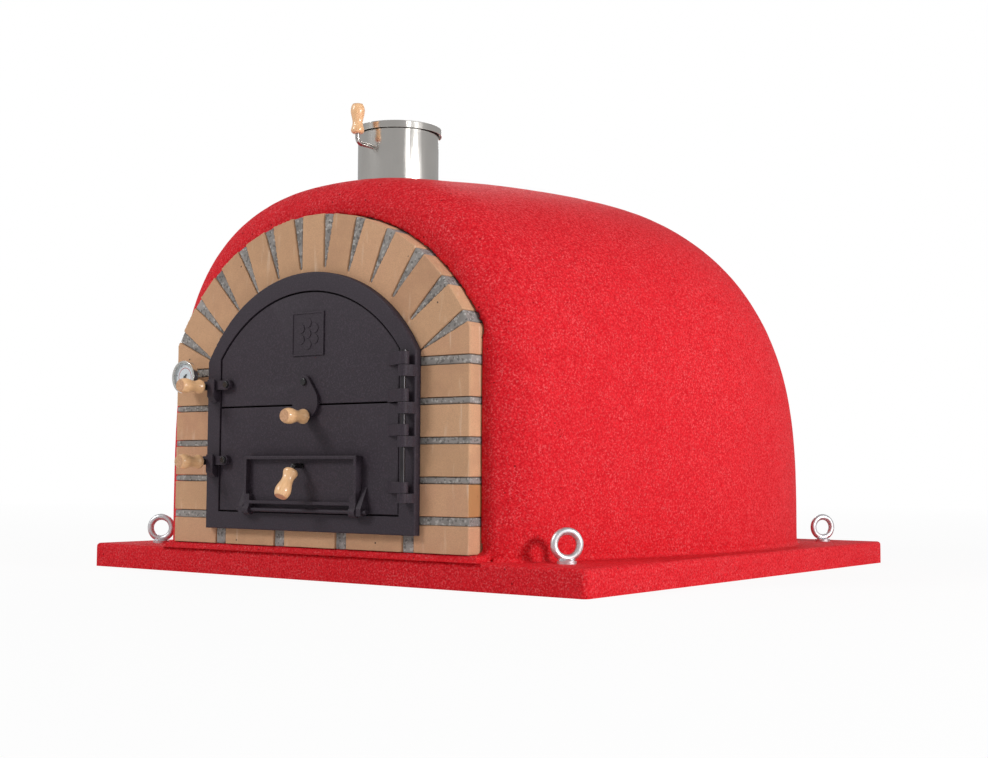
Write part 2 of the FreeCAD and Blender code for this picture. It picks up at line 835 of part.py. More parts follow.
def bolt_hole(x, z):
    return rod(pivot_radius, V(x, leaf_front_y - 1, z), V(x, leaf_back_y + 1, z))


def latch_arm(pivot):
    """Flat latch bar with a round end on its pivot."""
    x, z = pivot
    back_y = arm_front_y + latch_arm_thickness
    h = latch_arm_half_height
    bar = box(latch_arm_end_x, x, arm_front_y, back_y, z - h, z + h - 2)
    bar = softened(bar, 4.0, lambda e: e.BoundBox.XMax < latch_arm_end_x + 0.1 and e.BoundBox.YLength > 3)
    eye = rod(h, V(x, arm_front_y, z), V(x, back_y, z))
    hole = rod(pivot_radius + running_gap, V(x, arm_front_y - 1, z), V(x, back_y + 1, z))
    return fused([bar, eye]).cut(hole)


def build_latch(name, pivot):
    save(name + "_arm", latch_arm(pivot))
    base = V(latch_knob_x, arm_front_y, pivot[1] - 3)
    save(name + "_ferrule", knob_screw(base, OUT, ferrule_length, knob_length, knob_screw_radius))
    start = base + OUT * ferrule_length
    save(name + "_knob", knob(start, OUT, knob_length, knob_radius, knob_screw_radius))


def build_upper_door():
    leaf = leaf_plate(leaf_split_z + leaf_gap / 2, leaf_centre_z + leaf_radius + 1)
    leaf = fused([leaf] + [leaf_strap(z0, z1) for z0, z1 in upper_strap_z])
    leaf = leaf.cut(hinge_bore())
    pivots = (upper_latch_pivot, centre_pivot)
    fronts = (arm_front_y, leaf_front_y - centre_plate_standoff - centre_plate_thickness)
    for x, z in pivots:
        leaf = leaf.cut(bolt_hole(x, z))
    save("upper_door_leaf", leaf)
    save("upper_pivot_bolts", [pivot_bolt(x, z, y) for (x, z), y in zip(pivots, fronts)])
    save("upper_pivot_nuts", [pivot_nut(x, z) for x, z in pivots])
    build_ornament()
    build_latch("upper_latch", upper_latch_pivot)
    build_centre_latch()


def build_ornament():
    """Plain cast rosette in a square border."""
    cx, cz = ornament_centre
    h = ornament_size / 2
    y_base = leaf_front_y - ornament_base
    y_top = y_base - ornament_relief
    plaque = box(cx - h, cx + h, y_base, leaf_front_y, cz - h, cz + h)
    border = box(cx - h, cx + h, y_top, y_base, cz - h, cz + h)
    w = h - ornament_rim
    border = border.cut(box(cx - w, cx + w, y_top - 1, y_base + 1, cz - w, cz + w))
    petal_ring = 0.5 * h
    pieces = [plaque, border, rod(0.2 * h, V(cx, y_top, cz), V(cx, y_base, cz))]
    for k in range(petal_count):
        a = math.radians(360.0 * k / petal_count)
        x = cx + petal_ring * math.sin(a)
        z = cz + petal_ring * math.cos(a)
        pieces.append(rod(0.22 * h, V(x, y_top, z), V(x, y_base, z)))
    save("door_ornament", fused(pieces))


def build_centre_latch():
    """Tear-shaped turn plate that ties the two leaves together."""
    x0, z0 = centre_pivot
    x1, z1 = centre_plate_low
    back_y = leaf_front_y - centre_plate_standoff
    front_y = back_y - centre_plate_thickness
    top = rod(centre_plate_top_radius, V(x0, front_y, z0), V(x0, back_y, z0))
    low = rod(centre_plate_low_radius, V(x1, front_y, z1), V(x1, back_y, z1))
    spacing = math.hypot(x1 - x0, z1 - z0)
    lean = math.asin((centre_plate_low_radius - centre_plate_top_radius) / spacing)
    down = math.atan2(x1 - x0, z0 - z1)
    corners = []
    for side in (1, -1):
        a = down + side * (math.pi / 2 + lean)
        corners.append((a, side))
    points = []
    for (cx, cz, r), order in (
        ((x0, z0, centre_plate_top_radius), corners),
        ((x1, z1, centre_plate_low_radius), corners[::-1]),
    ):
        for a, side in order:
            points.append(V(cx + r * math.sin(a), front_y, cz - r * math.cos(a)))
    web = extruded(points, V(0, centre_plate_thickness, 0))
    hole = rod(pivot_radius + running_gap, V(x0, front_y - 1, z0), V(x0, back_y + 1, z0))
    plate = fused([top, low, web]).cut(hole)
    save("centre_latch_plate", plate)
    base = V(centre_knob[0], front_y, centre_knob[1])
    reach = centre_ferrule_length
    save("centre_latch_ferrule", knob_screw(base, OUT, reach, knob_length, knob_screw_radius))
    start = base + OUT * reach
    save("centre_latch_knob", knob(start, OUT, knob_length, knob_radius, knob_screw_radius))


def build_lower_door():
    leaf = leaf_plate(leaf_bottom_z - 1, leaf_split_z - leaf_gap / 2)
    draught = box(
        -draught_half_width,
        draught_half_width,
        leaf_front_y - 1,
        leaf_back_y + 1,
        draught_z[0],
        draught_z[1],
    )
    leaf = fused([leaf.cut(draught)] + [leaf_strap(z0, z1) for z0, z1 in lower_strap_z])
    rod_end = flap_half_width + flap_lug_gap + flap_lug_width + flap_rod_end
    pivot_rod = rod(flap_rod_radius, flap_pivot(-rod_end), flap_pivot(rod_end))
    lugs = [flap_lug(side) for side in (-1, 1)]
    leaf = fused([leaf] + lugs).cut(pivot_rod).cut(hinge_bore()).cut(bolt_hole(*lower_latch_pivot))
    save("lower_door_leaf", leaf)
    save("flap_pivot_rod", pivot_rod)
    x, z = lower_latch_pivot
    save("lower_pivot_bolt", pivot_bolt(x, z, arm_front_y))
    save("lower_pivot_nut", pivot_nut(x, z))
    build_latch("lower_latch", lower_latch_pivot)


def flap_pivot(x):
    return V(x, flap_pivot_y, flap_pivot_z)


def flap_lug(side):
    """Three-cornered bracket on the lower leaf that holds the flap's rod."""
    x0 = flap_half_width + flap_lug_gap
    if side < 0:
        x0 = -x0 - flap_lug_width
    front = flap_pivot_y - 5.5
    outline = [
        (leaf_front_y + 1, flap_pivot_z - 2),
        (leaf_front_y + 1, flap_pivot_z + flap_lug_top),
        (leaf_front_y - 1, flap_pivot_z + flap_lug_top),
        (front, flap_pivot_z + 5),
        (front, flap_pivot_z - 5.5),
        (leaf_front_y - 4, flap_pivot_z - 5.5),
    ]
    return extruded([V(x0, y, z) for y, z in outline], V(flap_lug_width, 0, 0))


def build_flap():
    """Bottom-hinged air flap: shallow tray with a raised rim and two ears on the pivot rod."""
    w = flap_half_width
    back = leaf_front_y - flap_standoff
    front = back - flap_depth
    tray = box(-w, w, front, back, flap_bottom_z, flap_top_z)
    tray = softened(tray, 1.5, lambda e: e.BoundBox.YMax < front + 0.1)
    hollow = box(
        -w + flap_rim,
        w - flap_rim,
        front - 1,
        back - flap_plate,
        flap_bottom_z + flap_rim,
        flap_top_z - flap_rim,
    )
    pieces = [tray.cut(hollow)]
    for side in (-1, 1):
        x0, x1 = sorted((side * (w - flap_ear_width), side * w))
        pieces.append(rod(flap_ear_radius, flap_pivot(x0), flap_pivot(x1)))
        pieces.append(
            box(x0, x1, front, back, flap_pivot_z + 1, flap_bottom_z + 3 * flap_rim)
        )
    bore = rod(flap_rod_radius + running_gap, flap_pivot(-w - 1), flap_pivot(w + 1))
    stem_hole = rod(flap_stem_radius, V(0, front, flap_stem_z), V(0, back, flap_stem_z))
    save("draught_flap", fused(pieces).cut(bore).cut(stem_hole))
    bend = V(0, back - flap_plate - flap_stem_reach, flap_stem_z)
    tilt = math.radians(flap_knob_tilt)
    hang = V(0, -math.sin(tilt), -math.cos(tilt))
    collar = bend + hang * 7
    stem = [
        rod(flap_stem_radius, V(0, back - 0.5, flap_stem_z), bend),
        Part.makeSphere(flap_stem_radius, bend),
        rod(flap_stem_radius, bend, collar),
        rod(knob_screw_radius, collar, collar + hang * (0.38 * flap_knob_length)),
    ]
    save("draught_flap_stem", fused(stem))
    save("draught_flap_knob", knob(collar, hang, flap_knob_length, knob_radius, knob_screw_radius))


def build_thermometer():
    back = brick_front_y - gauge_seat_gap
    front = back - gauge_depth

    def disc(radius, y0, y1):
        return rod(radius, V(gauge_x, y0, gauge_z), V(gauge_x, y1, gauge_z))

    inner = gauge_radius - gauge_wall
    case = disc(gauge_radius, front + 1.5, back).cut(disc(inner, front - 1, back - gauge_wall))
    seat = disc(gauge_seat_radius, back, brick_front_y)
    case = fused([case, seat]).cut(disc(probe_radius, front, brick_front_y + 1))
    save("thermometer_case", case)
    tip = disc(probe_radius, back - gauge_wall, probe_end_y - 4)
    end = Part.makeSphere(probe_radius, V(gauge_x, probe_end_y - 4, gauge_z))
    save("thermometer_probe", fused([tip, end]))
    bezel = disc(bezel_radius, front, front + bezel_depth).cut(disc(bezel_opening, front - 1, front + 8))
    bezel = bezel.cut(disc(gauge_radius, front + 1.5, front + 8))
    bezel = softened(bezel, 0.6, lambda e: e.BoundBox.YMax < front + 0.1 and e.BoundBox.XLength > 50)
    save("thermometer_bezel", bezel)
    lens_back = front + 1.5 + lens_thickness
    save("thermometer_lens", disc(inner, front + 1.5, lens_back))
    dial_front = front + dial_drop
    dial = disc(inner, dial_front, dial_front + dial_thickness)
    save("thermometer_dial", dial.cut(disc(needle_pin + running_gap, front, back)))
    save("thermometer_needle", needle(dial_front))


def needle(dial_front):
    """Tapered pointer with a hub and a pin that turns in the dial."""
    y1 = dial_front - 0.6
    y0 = y1 - needle_thickness
    a = math.radians(needle_rest)
    tip = (math.sin(a), math.cos(a))
    side = (math.cos(a), -math.sin(a))
    outline = ((needle_length, 0.3), (needle_length, -0.3), (-needle_tail, -1.0), (-needle_tail, 1.0))
    points = []
    for along, across in outline:
        x = gauge_x + along * tip[0] + across * side[0]
        z = gauge_z + along * tip[1] + across * side[1]
        points.append(V(x, y0, z))
    blade = extruded(points, V(0, needle_thickness, 0))
    hub = rod(needle_hub, V(gauge_x, y0 - 0.4, gauge_z), V(gauge_x, y1, gauge_z))
    pin = rod(needle_pin, V(gauge_x, y1 - 0.2, gauge_z), V(gauge_x, dial_front + 3, gauge_z))
    return fused([blade, hub, pin])


def build_flue():
    foot = V(0, flue_y, flue_bottom_z)
    top = V(0, flue_y, flue_top_z - rim_sheet)
    pipe = rod(flue_radius, foot, top).cut(rod(flue_radius - flue_wall, foot, top))
    shaft_front = V(0, flue_y - flue_radius - damper_rod_reach, damper_z)
    shaft_rear = V(0, flue_y + flue_radius + damper_rod_rear, damper_z)
    pipe = pipe.cut(rod(damper_rod_radius + running_gap, shaft_front, shaft_rear))
    save("flue_pipe", pipe)
    rim_low = V(0, flue_y, flue_top_z - rim_height)
    rim_top = V(0, flue_y, flue_top_z)
    rim = rod(rim_radius, rim_low, rim_top)
    rim = softened(rim, 1.2, lambda e: e.BoundBox.ZMin > flue_top_z - 0.1)
    rim = rim.cut(rod(rim_radius - rim_sheet, rim_low, top)).cut(rod(flue_radius - flue_wall, foot, rim_top))
    save("flue_rim", rim)
    build_damper(shaft_front, shaft_rear)


def build_damper(shaft_front, shaft_rear):
    bend_centre = shaft_front + V(0, 0, damper_bend)
    bend_start = shaft_front + V(0, 0, 0)
    bend_end = bend_centre + V(0, -damper_bend, 0)
    middle = bend_centre + V(0, -damper_bend, -damper_bend) * (1 / math.sqrt(2))
    knob_base = V(0, bend_end.y, damper_knob_z)
    stem_end = V(0, bend_end.y, damper_knob_z + 0.38 * damper_knob_length)
    path = Part.Wire(
        [
            Part.makeLine(shaft_rear, bend_start),
            Part.Arc(bend_start, middle, bend_end).toShape(),
            Part.makeLine(bend_end, stem_end),
        ]
    )
    section = Part.Wire([Part.makeCircle(damper_rod_radius, shaft_rear, Y_AXIS)])
    bar = path.makePipeShell([section], True, False)
    disc_low = damper_z + damper_rod_radius
    disc_high = disc_low + damper_disc_thickness
    disc = rod(damper_disc_radius, V(0, flue_y, disc_low), V(0, flue_y, disc_high))
    screws = []
    for side in (-1, 1):
        y = flue_y + side * damper_screw_y
        shank = rod(1.5, V(0, y, damper_z - damper_rod_radius), V(0, y, disc_high + 0.5))
        head = rod(3.2, V(0, y, disc_high), V(0, y, disc_high + 2))
        screws.append(fused([shank, head]))
        disc = disc.cut(shank)
        bar = bar.cut(shank)
    save("damper_disc", disc)
    save("damper_rod", bar)
    save("damper_screws", screws)
    wood = knob(knob_base, Z_AXIS, damper_knob_length, damper_knob_radius, damper_rod_radius)
    save("damper_knob", wood)


build_slab()
build_shell()
build_bricks()
build_frame()
build_upper_door()
build_lower_door()
build_flap()
build_thermometer()
build_flue()
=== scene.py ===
import math

import bmesh
import bpy
from mathutils import Matrix, Vector, geometry


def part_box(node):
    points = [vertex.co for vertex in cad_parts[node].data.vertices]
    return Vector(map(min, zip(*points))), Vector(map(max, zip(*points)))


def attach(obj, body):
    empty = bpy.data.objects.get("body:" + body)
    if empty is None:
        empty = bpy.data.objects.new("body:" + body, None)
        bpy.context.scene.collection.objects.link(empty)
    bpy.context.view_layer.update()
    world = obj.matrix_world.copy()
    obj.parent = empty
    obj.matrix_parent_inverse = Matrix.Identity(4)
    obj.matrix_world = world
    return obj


bl_info = {
    "name": "Masonry Pizza Oven",
    "version": (1, 0, 0),
    "blender": (4, 5, 0),
    "location": "View3D > Sidebar > Oven",
    "description": "Finishes and fine detail of a wood-fired masonry oven on a square slab",
    "category": "Object",
}

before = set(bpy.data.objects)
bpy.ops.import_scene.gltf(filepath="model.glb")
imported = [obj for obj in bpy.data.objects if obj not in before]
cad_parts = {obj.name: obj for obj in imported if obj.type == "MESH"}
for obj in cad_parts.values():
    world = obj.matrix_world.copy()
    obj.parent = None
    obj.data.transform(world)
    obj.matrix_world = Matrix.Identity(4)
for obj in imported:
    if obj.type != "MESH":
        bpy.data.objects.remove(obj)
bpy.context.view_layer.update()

# ---- places on the oven, in the row frame and in metres --------------------------------------------------
ARCH_CENTRE_Z = 0.215
ARCH_STEP = math.radians(11.0)
COURSE_FOOT_Z, COURSE_PITCH = 0.095, 0.056
SILL_PITCH = 0.13
OVERFIRED_FACE_X = 0.3028
OVERFIRED_LOW_Z, OVERFIRED_HIGH_Z = 0.0995, 0.1465
PORES_END_Y, PORES_FADE_Y = -0.30, -0.42
MOUTH_SIDE_Y = -0.4
BED_DEPTH = 0.05

# How near points count as one, as lying on the slab, on the bed's front, or beside the bed.
WELD_REACH = 0.00002
ON_SLAB, ON_FRONT, BESIDE_BED = 0.0005, 0.001, 0.0015

# The way each knob points, from collar to end.
FLAP_KNOB_TILT = math.radians(30)
KNOBS = {
    "upper_latch_knob": (0, -1, 0),
    "lower_latch_knob": (0, -1, 0),
    "centre_latch_knob": (0, -1, 0),
    "damper_knob": (0, 0, 1),
    "draught_flap_knob": (0, -math.sin(FLAP_KNOB_TILT), -math.cos(FLAP_KNOB_TILT)),
}

# The dial's print: angles in degrees from the top, lengths as shares of the dial's radius.
DIAL_START, DIAL_SWEEP = -135.0, 270.0
TICK_COUNT, BAND_COUNT = 50, 60
TICK_OUTER = 0.90
LONG_TICK, MIDDLE_TICK, SHORT_TICK = 0.76, 0.83, 0.86
WIDE_TICK, NARROW_TICK = 0.018, 0.009
BAND_INNER, BAND_OUTER, BAND_HALF = 0.60, 0.64, 0.0245

# Each lamp's place, the point it faces and its width, in metres. The stage setting of its name is its power.
LAMPS = {
    "key": ((3.3, -0.33, 0.98), (0.2, -0.1, 0.3), 0.45),
    "strip": ((3.04, -1.59, 1.4), (0.0, -0.3, 0.6), 0.3),
    "front": ((-2.1, -3.4, 2.75), (0.0, -0.3, 0.3), 1.2),
    "back": ((-2.4, 2.8, 2.6), (0.0, 0.0, 0.3), 2.0),
}
WHITE = (1.0, 1.0, 1.0, 1.0)


# ---- settings --------------------------------------------------------------------------------------------
def tint(label, text, value):
    return bpy.props.FloatVectorProperty(
        name=label, description=text, subtype="COLOR", size=3, min=0.0, max=1.0, default=value
    )


def length(label, text, value):
    return bpy.props.FloatProperty(
        name=label, description=text, default=value, min=0.0, unit="LENGTH", subtype="DISTANCE", precision=5
    )


def power(label, text, value):
    return bpy.props.FloatProperty(name=label, description=text, default=value, unit="POWER")


def angle(label, text, degrees):
    return bpy.props.FloatProperty(
        name=label, description=text, default=math.radians(degrees), unit="ROTATION"
    )


class OVEN_PG_colours(bpy.types.PropertyGroup):
    """Colours of the oven's materials"""

    red: tint("Red coat", "Textured masonry coat on dome and slab", (0.74, 0.004, 0.014))
    # Painted highlight: a pale pink mixed into the coat in clumped specks, standing in for glints of light on
    # the grains.
    red_painted_glint: tint("Red coat, glints", "Pale crests of the coat's grains", (0.92, 0.19, 0.20))
    brick: tint("Brick", "Body colour of the fired bricks", (0.60, 0.352, 0.200))
    brick_pink: tint("Brick, pink", "Tone of the pinker bricks", (0.60, 0.31, 0.19))
    brick_dark: tint("Brick, dark end", "Tone of the one over-fired brick end", (0.42, 0.20, 0.07))
    brick_drag: tint("Brick, drags", "Pale lines from the press", (0.78, 0.62, 0.47))
    # Painted shade: the near-black colour inside the pits stands in for the shade in these small holes.
    brick_pit_shade: tint("Brick, pits", "Inside of the bricks' pits", (0.05, 0.035, 0.025))
    mortar: tint("Mortar", "Body colour of the joints", (0.27, 0.25, 0.235))
    grit_pale: tint("Mortar, pale grit", "Pale stones in the joints", (0.55, 0.53, 0.50))
    grit_dark: tint("Mortar, dark grit", "Dark stones in the joints", (0.07, 0.065, 0.06))
    iron: tint("Stove iron", "Stove paint on the castings", (0.029, 0.0205, 0.029))
    iron_worn: tint("Stove iron, worn", "Rubbed edges of the castings", (0.11, 0.10, 0.11))
    black: tint("Black fittings", "Black oxide on bolts and ferrules", (0.012, 0.011, 0.012))
    black_worn: tint("Black fittings, worn", "Rubbed edges of the fittings", (0.10, 0.095, 0.09))
    beech: tint("Beech", "Varnished beech of the knobs", (0.90, 0.55, 0.29))
    beech_grain: tint("Beech grain", "Darker lines in the beech", (0.72, 0.37, 0.15))
    beech_end: tint("Beech, end", "End grain of the knobs", (0.60, 0.32, 0.18))
    beech_ring: tint("Beech, rings", "Rings in the end grain", (0.44, 0.21, 0.10))
    steel: tint("Stainless", "Brushed flue steel", (0.76, 0.73, 0.69))
    rod: tint("Damper rod", "Steel of the damper's rod and screws", (0.50, 0.47, 0.45))
    hinge: tint("Hinge rod", "Dark steel of the hinge rod", (0.075, 0.070, 0.075))
    probe: tint("Probe", "Steel of the thermometer's probe", (0.5, 0.48, 0.45))
    insert: tint("Inserts", "Steel of the slab's threaded inserts", (0.42, 0.42, 0.42))
    zinc: tint("Zinc", "Plating on the lifting eyes", (0.80, 0.80, 0.82))
    bezel: tint("Bezel", "Polished thermometer case", (0.90, 0.87, 0.82))
    dial: tint("Dial", "Enamel of the dial", (0.84, 0.84, 0.88))
    needle: tint("Needle", "Enamel of the needle", (0.02, 0.02, 0.02))
    ink: tint("Dial ink", "Printed ticks", (0.02, 0.02, 0.022))
    dial_red: tint("Dial band", "Printed ring", (0.55, 0.06, 0.07))
    concrete: tint("Concrete", "Slab core", (0.36, 0.35, 0.33))
    tile: tint("Hearth tile", "Fired clay of the hearth", (0.55, 0.40, 0.26))
    refractory: tint("Refractory", "Cast inner dome and vault", (0.42, 0.38, 0.33))
    board: tint("Board", "Insulating board under the hearth", (0.74, 0.72, 0.66))
    blanket: tint("Blanket", "Fibre blanket over the inner dome", (0.78, 0.76, 0.70))
    rope: tint("Rope", "Seal around the flue", (0.60, 0.58, 0.54))
    soot: tint("Soot", "Smoke stains above the hearth", (0.03, 0.026, 0.022))
    floor: tint("Floor", "Studio floor", (0.82, 0.82, 0.82))


class OVEN_PG_sizes(bpy.types.PropertyGroup):
    """Sizes of the oven's fine detail"""

    coat_mesh: length("Coat mesh", "Mesh step of the coated surfaces", 0.006)
    coat_relief: length("Coat relief", "Depth of the coat's hand-laid waves", 0.0004)
    coat_wave: length("Coat waves", "Width of the coat's hand-laid waves", 0.035)
    coat_edge: length("Coat edge", "Rounding on the slab's coated edges", 0.0015)
    coat_grain: length("Coat grain", "Size of the grains in the coat", 0.0034)
    cove: length("Cove", "Height and width of the coat's fillet on the slab", 0.007)
    cove_step: length("Cove step", "Mesh step along the fillet", 0.008)
    brick_mesh: length("Brick mesh", "Mesh step of the bricks", 0.0018)
    brick_relief: length("Brick relief", "Depth of the bricks' unevenness", 0.0005)
    brick_wave: length("Brick waves", "Width of the bricks' unevenness", 0.022)
    mortar_mesh: length("Mortar mesh", "Mesh step of the joints", 0.0022)
    mortar_relief: length("Mortar relief", "Depth of the joints' roughness", 0.0005)
    mortar_wave: length("Mortar waves", "Width of the joints' roughness", 0.007)
    casting_edge: length("Casting edge", "Rounding on the edges of the castings", 0.0007)
    blanket_thread: length("Blanket thread", "Thread width of the fibre blanket", 0.006)
    rope_thread: length("Rope thread", "Thread width of the seal rope", 0.0025)
    print_depth: length("Dial print", "Thickness of the printed marks", 0.0001)


class OVEN_PG_stage(bpy.types.PropertyGroup):
    """Camera, lamps and all-round light"""

    eye: bpy.props.FloatVectorProperty(
        name="Camera", description="Camera position", size=3, unit="LENGTH",
        subtype="TRANSLATION", default=(1.50651, -2.04587, 0.16347),
    )
    azimuth: angle("Turn", "Camera turn from +Y towards -X", 36.807)
    elevation: angle("Rise", "Camera rise above the horizon", 3.743)
    roll: angle("Roll", "Camera roll", 0.308)
    lens: bpy.props.FloatProperty(
        name="Lens", description="Focal length on a 36 mm sensor", unit="CAMERA", default=51.72
    )
    key: power("Key", "Power of the right-hand lamp", 62.0)
    front: power("Front", "Power of the front lamp", 78.0)
    strip: power("Strip", "Power of the strip lamp", 2.0)
    back: power("Back", "Power of the back lamp", 36.0)
    sky: bpy.props.FloatProperty(name="Sky", description="Strength of the all-round light", default=0.42)


# ---- finishes --------------------------------------------------------------------------------------------
class Finish:
    """One material and short ways to add its nodes.

    Patterns lie in the row frame. A pattern's density is its number of features in a metre.
    """

    def __init__(self, name):
        self.material = bpy.data.materials.new(name)
        self.material.use_nodes = True
        self.tree = self.material.node_tree
        self.shader = self.tree.nodes["Principled BSDF"]
        self.place = self.add("ShaderNodeTexCoord").outputs["Object"]

    def feed(self, socket, value):
        if isinstance(value, bpy.types.NodeSocket):
            self.tree.links.new(value, socket)
        elif socket.type == "RGBA" and len(value) == 3:
            socket.default_value = (*value, 1.0)
        else:
            socket.default_value = value

    def add(self, kind, inputs=None, **settings):
        node = self.tree.nodes.new(kind)
        for key, value in settings.items():
            setattr(node, key, value)
        for key, value in (inputs or {}).items():
            self.feed(node.inputs[key], value)
        return node

    def moved(self, where, **how):
        """Coordinates after a Location, Rotation or Scale."""
        return self.add("ShaderNodeMapping", {"Vector": where, **how}).outputs[0]

    def noise(self, density, detail=2.0, where=None, roughness=0.5):
        inputs = {"Vector": where or self.place, "Scale": density, "Detail": detail, "Roughness": roughness}
        return self.add("ShaderNodeTexNoise", inputs).outputs[0]

    def cells(self, density, where=None, feature="F1"):
        inputs = {"Vector": where or self.place, "Scale": density}
        return self.add("ShaderNodeTexVoronoi", inputs, feature=feature).outputs

    def sums(self, work, first, second=0.0, third=0.0):
        node = self.add("ShaderNodeMath", operation=work)
        for socket, value in zip(node.inputs, (first, second, third)):
            self.feed(socket, value)
        return node.outputs[0]

    def times(self, first, second):
        return self.sums("MULTIPLY", first, second)

    def span(self, value, low, high, to_low=0.0, to_high=1.0):
        inputs = {0: value, 1: low, 2: high, 3: to_low, 4: to_high}
        return self.add("ShaderNodeMapRange", inputs).outputs[0]

    def spread(self, noise, low=0.0, high=1.0):
        """A noise, which mostly lies between 0.3 and 0.7, spread from low to high."""
        return self.span(noise, 0.3, 0.7, low, high)

    def blend(self, share, first, second, kind="MIX"):
        node = self.add("ShaderNodeMix", data_type="RGBA", blend_type=kind)
        self.feed(node.inputs[0], share)
        self.feed(node.inputs[6], first)
        self.feed(node.inputs[7], second)
        return node.outputs[2]

    def stained(self, colour, pattern, low, high, share, other):
        """The colour, with up to share of another where the pattern rises from low to high."""
        return self.blend(self.span(pattern, low, high, 0.0, share), colour, other)

    def dotted(self, colour, dots, share, other):
        """The colour, with share of another where the dots lie."""
        return self.blend(self.times(dots, share), colour, other)

    def split(self, vector=None):
        return self.add("ShaderNodeSeparateXYZ", {0: vector or self.place}).outputs

    def dots(self, density, radius, missing):
        """Round dots, 1 inside and 0 outside; radius is a share of their spacing, missing of their count."""
        cell = self.cells(density)
        inside = self.sums("LESS_THAN", cell["Distance"], radius)
        kept = self.sums("GREATER_THAN", self.split(cell["Color"])[0], missing)
        return self.times(inside, kept)

    def bump(self, height, depth):
        return self.add("ShaderNodeBump", {"Height": height, "Distance": depth, "Strength": 1.0}).outputs[0]

    def worn(self):
        """How near a point lies to an edge, 0 to 1."""
        soft = self.add("ShaderNodeBevel", {"Radius": 0.001}, samples=4).outputs[0]
        true = self.add("ShaderNodeNewGeometry").outputs["Normal"]
        same = self.add("ShaderNodeVectorMath", {0: soft, 1: true}, operation="DOT_PRODUCT").outputs["Value"]
        return self.span(same, 0.98, 0.80)

    def give(self, **sockets):
        for key, value in sockets.items():
            self.feed(self.shader.inputs[key.replace("_", " ")], value)
        return self.material

    def mix_surface(self, share, first, second):
        """Makes the surface from two shaders."""
        mixed = self.add("ShaderNodeMixShader", {0: share})
        self.tree.links.new(first.outputs[0], mixed.inputs[1])
        self.tree.links.new(second.outputs[0], mixed.inputs[2])
        self.tree.links.new(mixed.outputs[0], self.tree.nodes["Material Output"].inputs["Surface"])


def scaled(colour, factor):
    return tuple(min(1.0, c * factor) for c in colour)


def red_coat(colours, sizes):
    """Granular elastic coat: rounded grains with painted shade in the hollows between them and painted
    highlights on their crests, clumped painted glints, and small pores near the front, painted dark inside as
    shade.
    """
    f = Finish("red_coat")
    density = 1.0 / sizes.coat_grain
    warp = f.noise(density * 0.45, 1.0)
    warp = f.add("ShaderNodeCombineXYZ", {0: warp, 1: warp, 2: warp}).outputs[0]
    reach = {0: warp, "Scale": sizes.coat_grain * 1.2}
    warp = f.add("ShaderNodeVectorMath", reach, operation="SCALE").outputs[0]
    where = f.add("ShaderNodeVectorMath", {0: f.place, 1: warp}, operation="ADD").outputs[0]
    grain = f.cells(density, where, "SMOOTH_F1")["Distance"]
    fine = f.noise(density * 2.2, roughness=0.6)
    patch = f.noise(density * 0.16)
    height = f.sums("MULTIPLY_ADD", fine, 0.9, f.times(grain, -1.0))
    height = f.sums("MULTIPLY_ADD", patch, 0.25, height)
    # Painted shade and highlight: the coat is darker where the grains' height is low, in the hollows, and paler
    # on the crests.
    painted_crest_highlight = (min(1.0, colours.red[0] * 1.06), colours.red[1] + 0.012, colours.red[2] + 0.012)
    colour = f.blend(f.span(height, -0.05, 0.42), scaled(colours.red, 0.80), painted_crest_highlight)
    # Painted glints: pale pink specks of light, gathered in clumps, mixed into the coat's colour as highlights.
    clumps = f.span(f.noise(density * 0.12), 0.35, 0.65, 0.55, 1.0)
    painted_glint = f.span(f.noise(density * 1.25), 0.50, 0.78)
    colour = f.blend(f.times(painted_glint, f.times(clumps, 0.70)), colour, colours.red_painted_glint)
    broad = f.noise(4.0, 3.0)
    colour = f.stained(colour, broad, 0.35, 0.65, 0.25, scaled(colours.red, 0.88))
    near = f.span(f.split()[1], PORES_FADE_Y, PORES_END_Y, 1.0, 0.0)
    pores = f.times(f.dots(density=70.0, radius=0.09, missing=0.62), near)
    # The pores are dented by the bump and painted nearly black inside, as painted shade in the holes.
    colour = f.dotted(colour, pores, 0.75, scaled(colours.red, 0.12))
    rough = f.span(height, 0.0, 0.4, 0.66, 0.50)
    dents = f.bump(f.sums("SUBTRACT", height, f.times(pores, 0.6)), 0.0013)
    return f.give(Base_Color=colour, Roughness=rough, Normal=dents, Specular_IOR_Level=0.12)


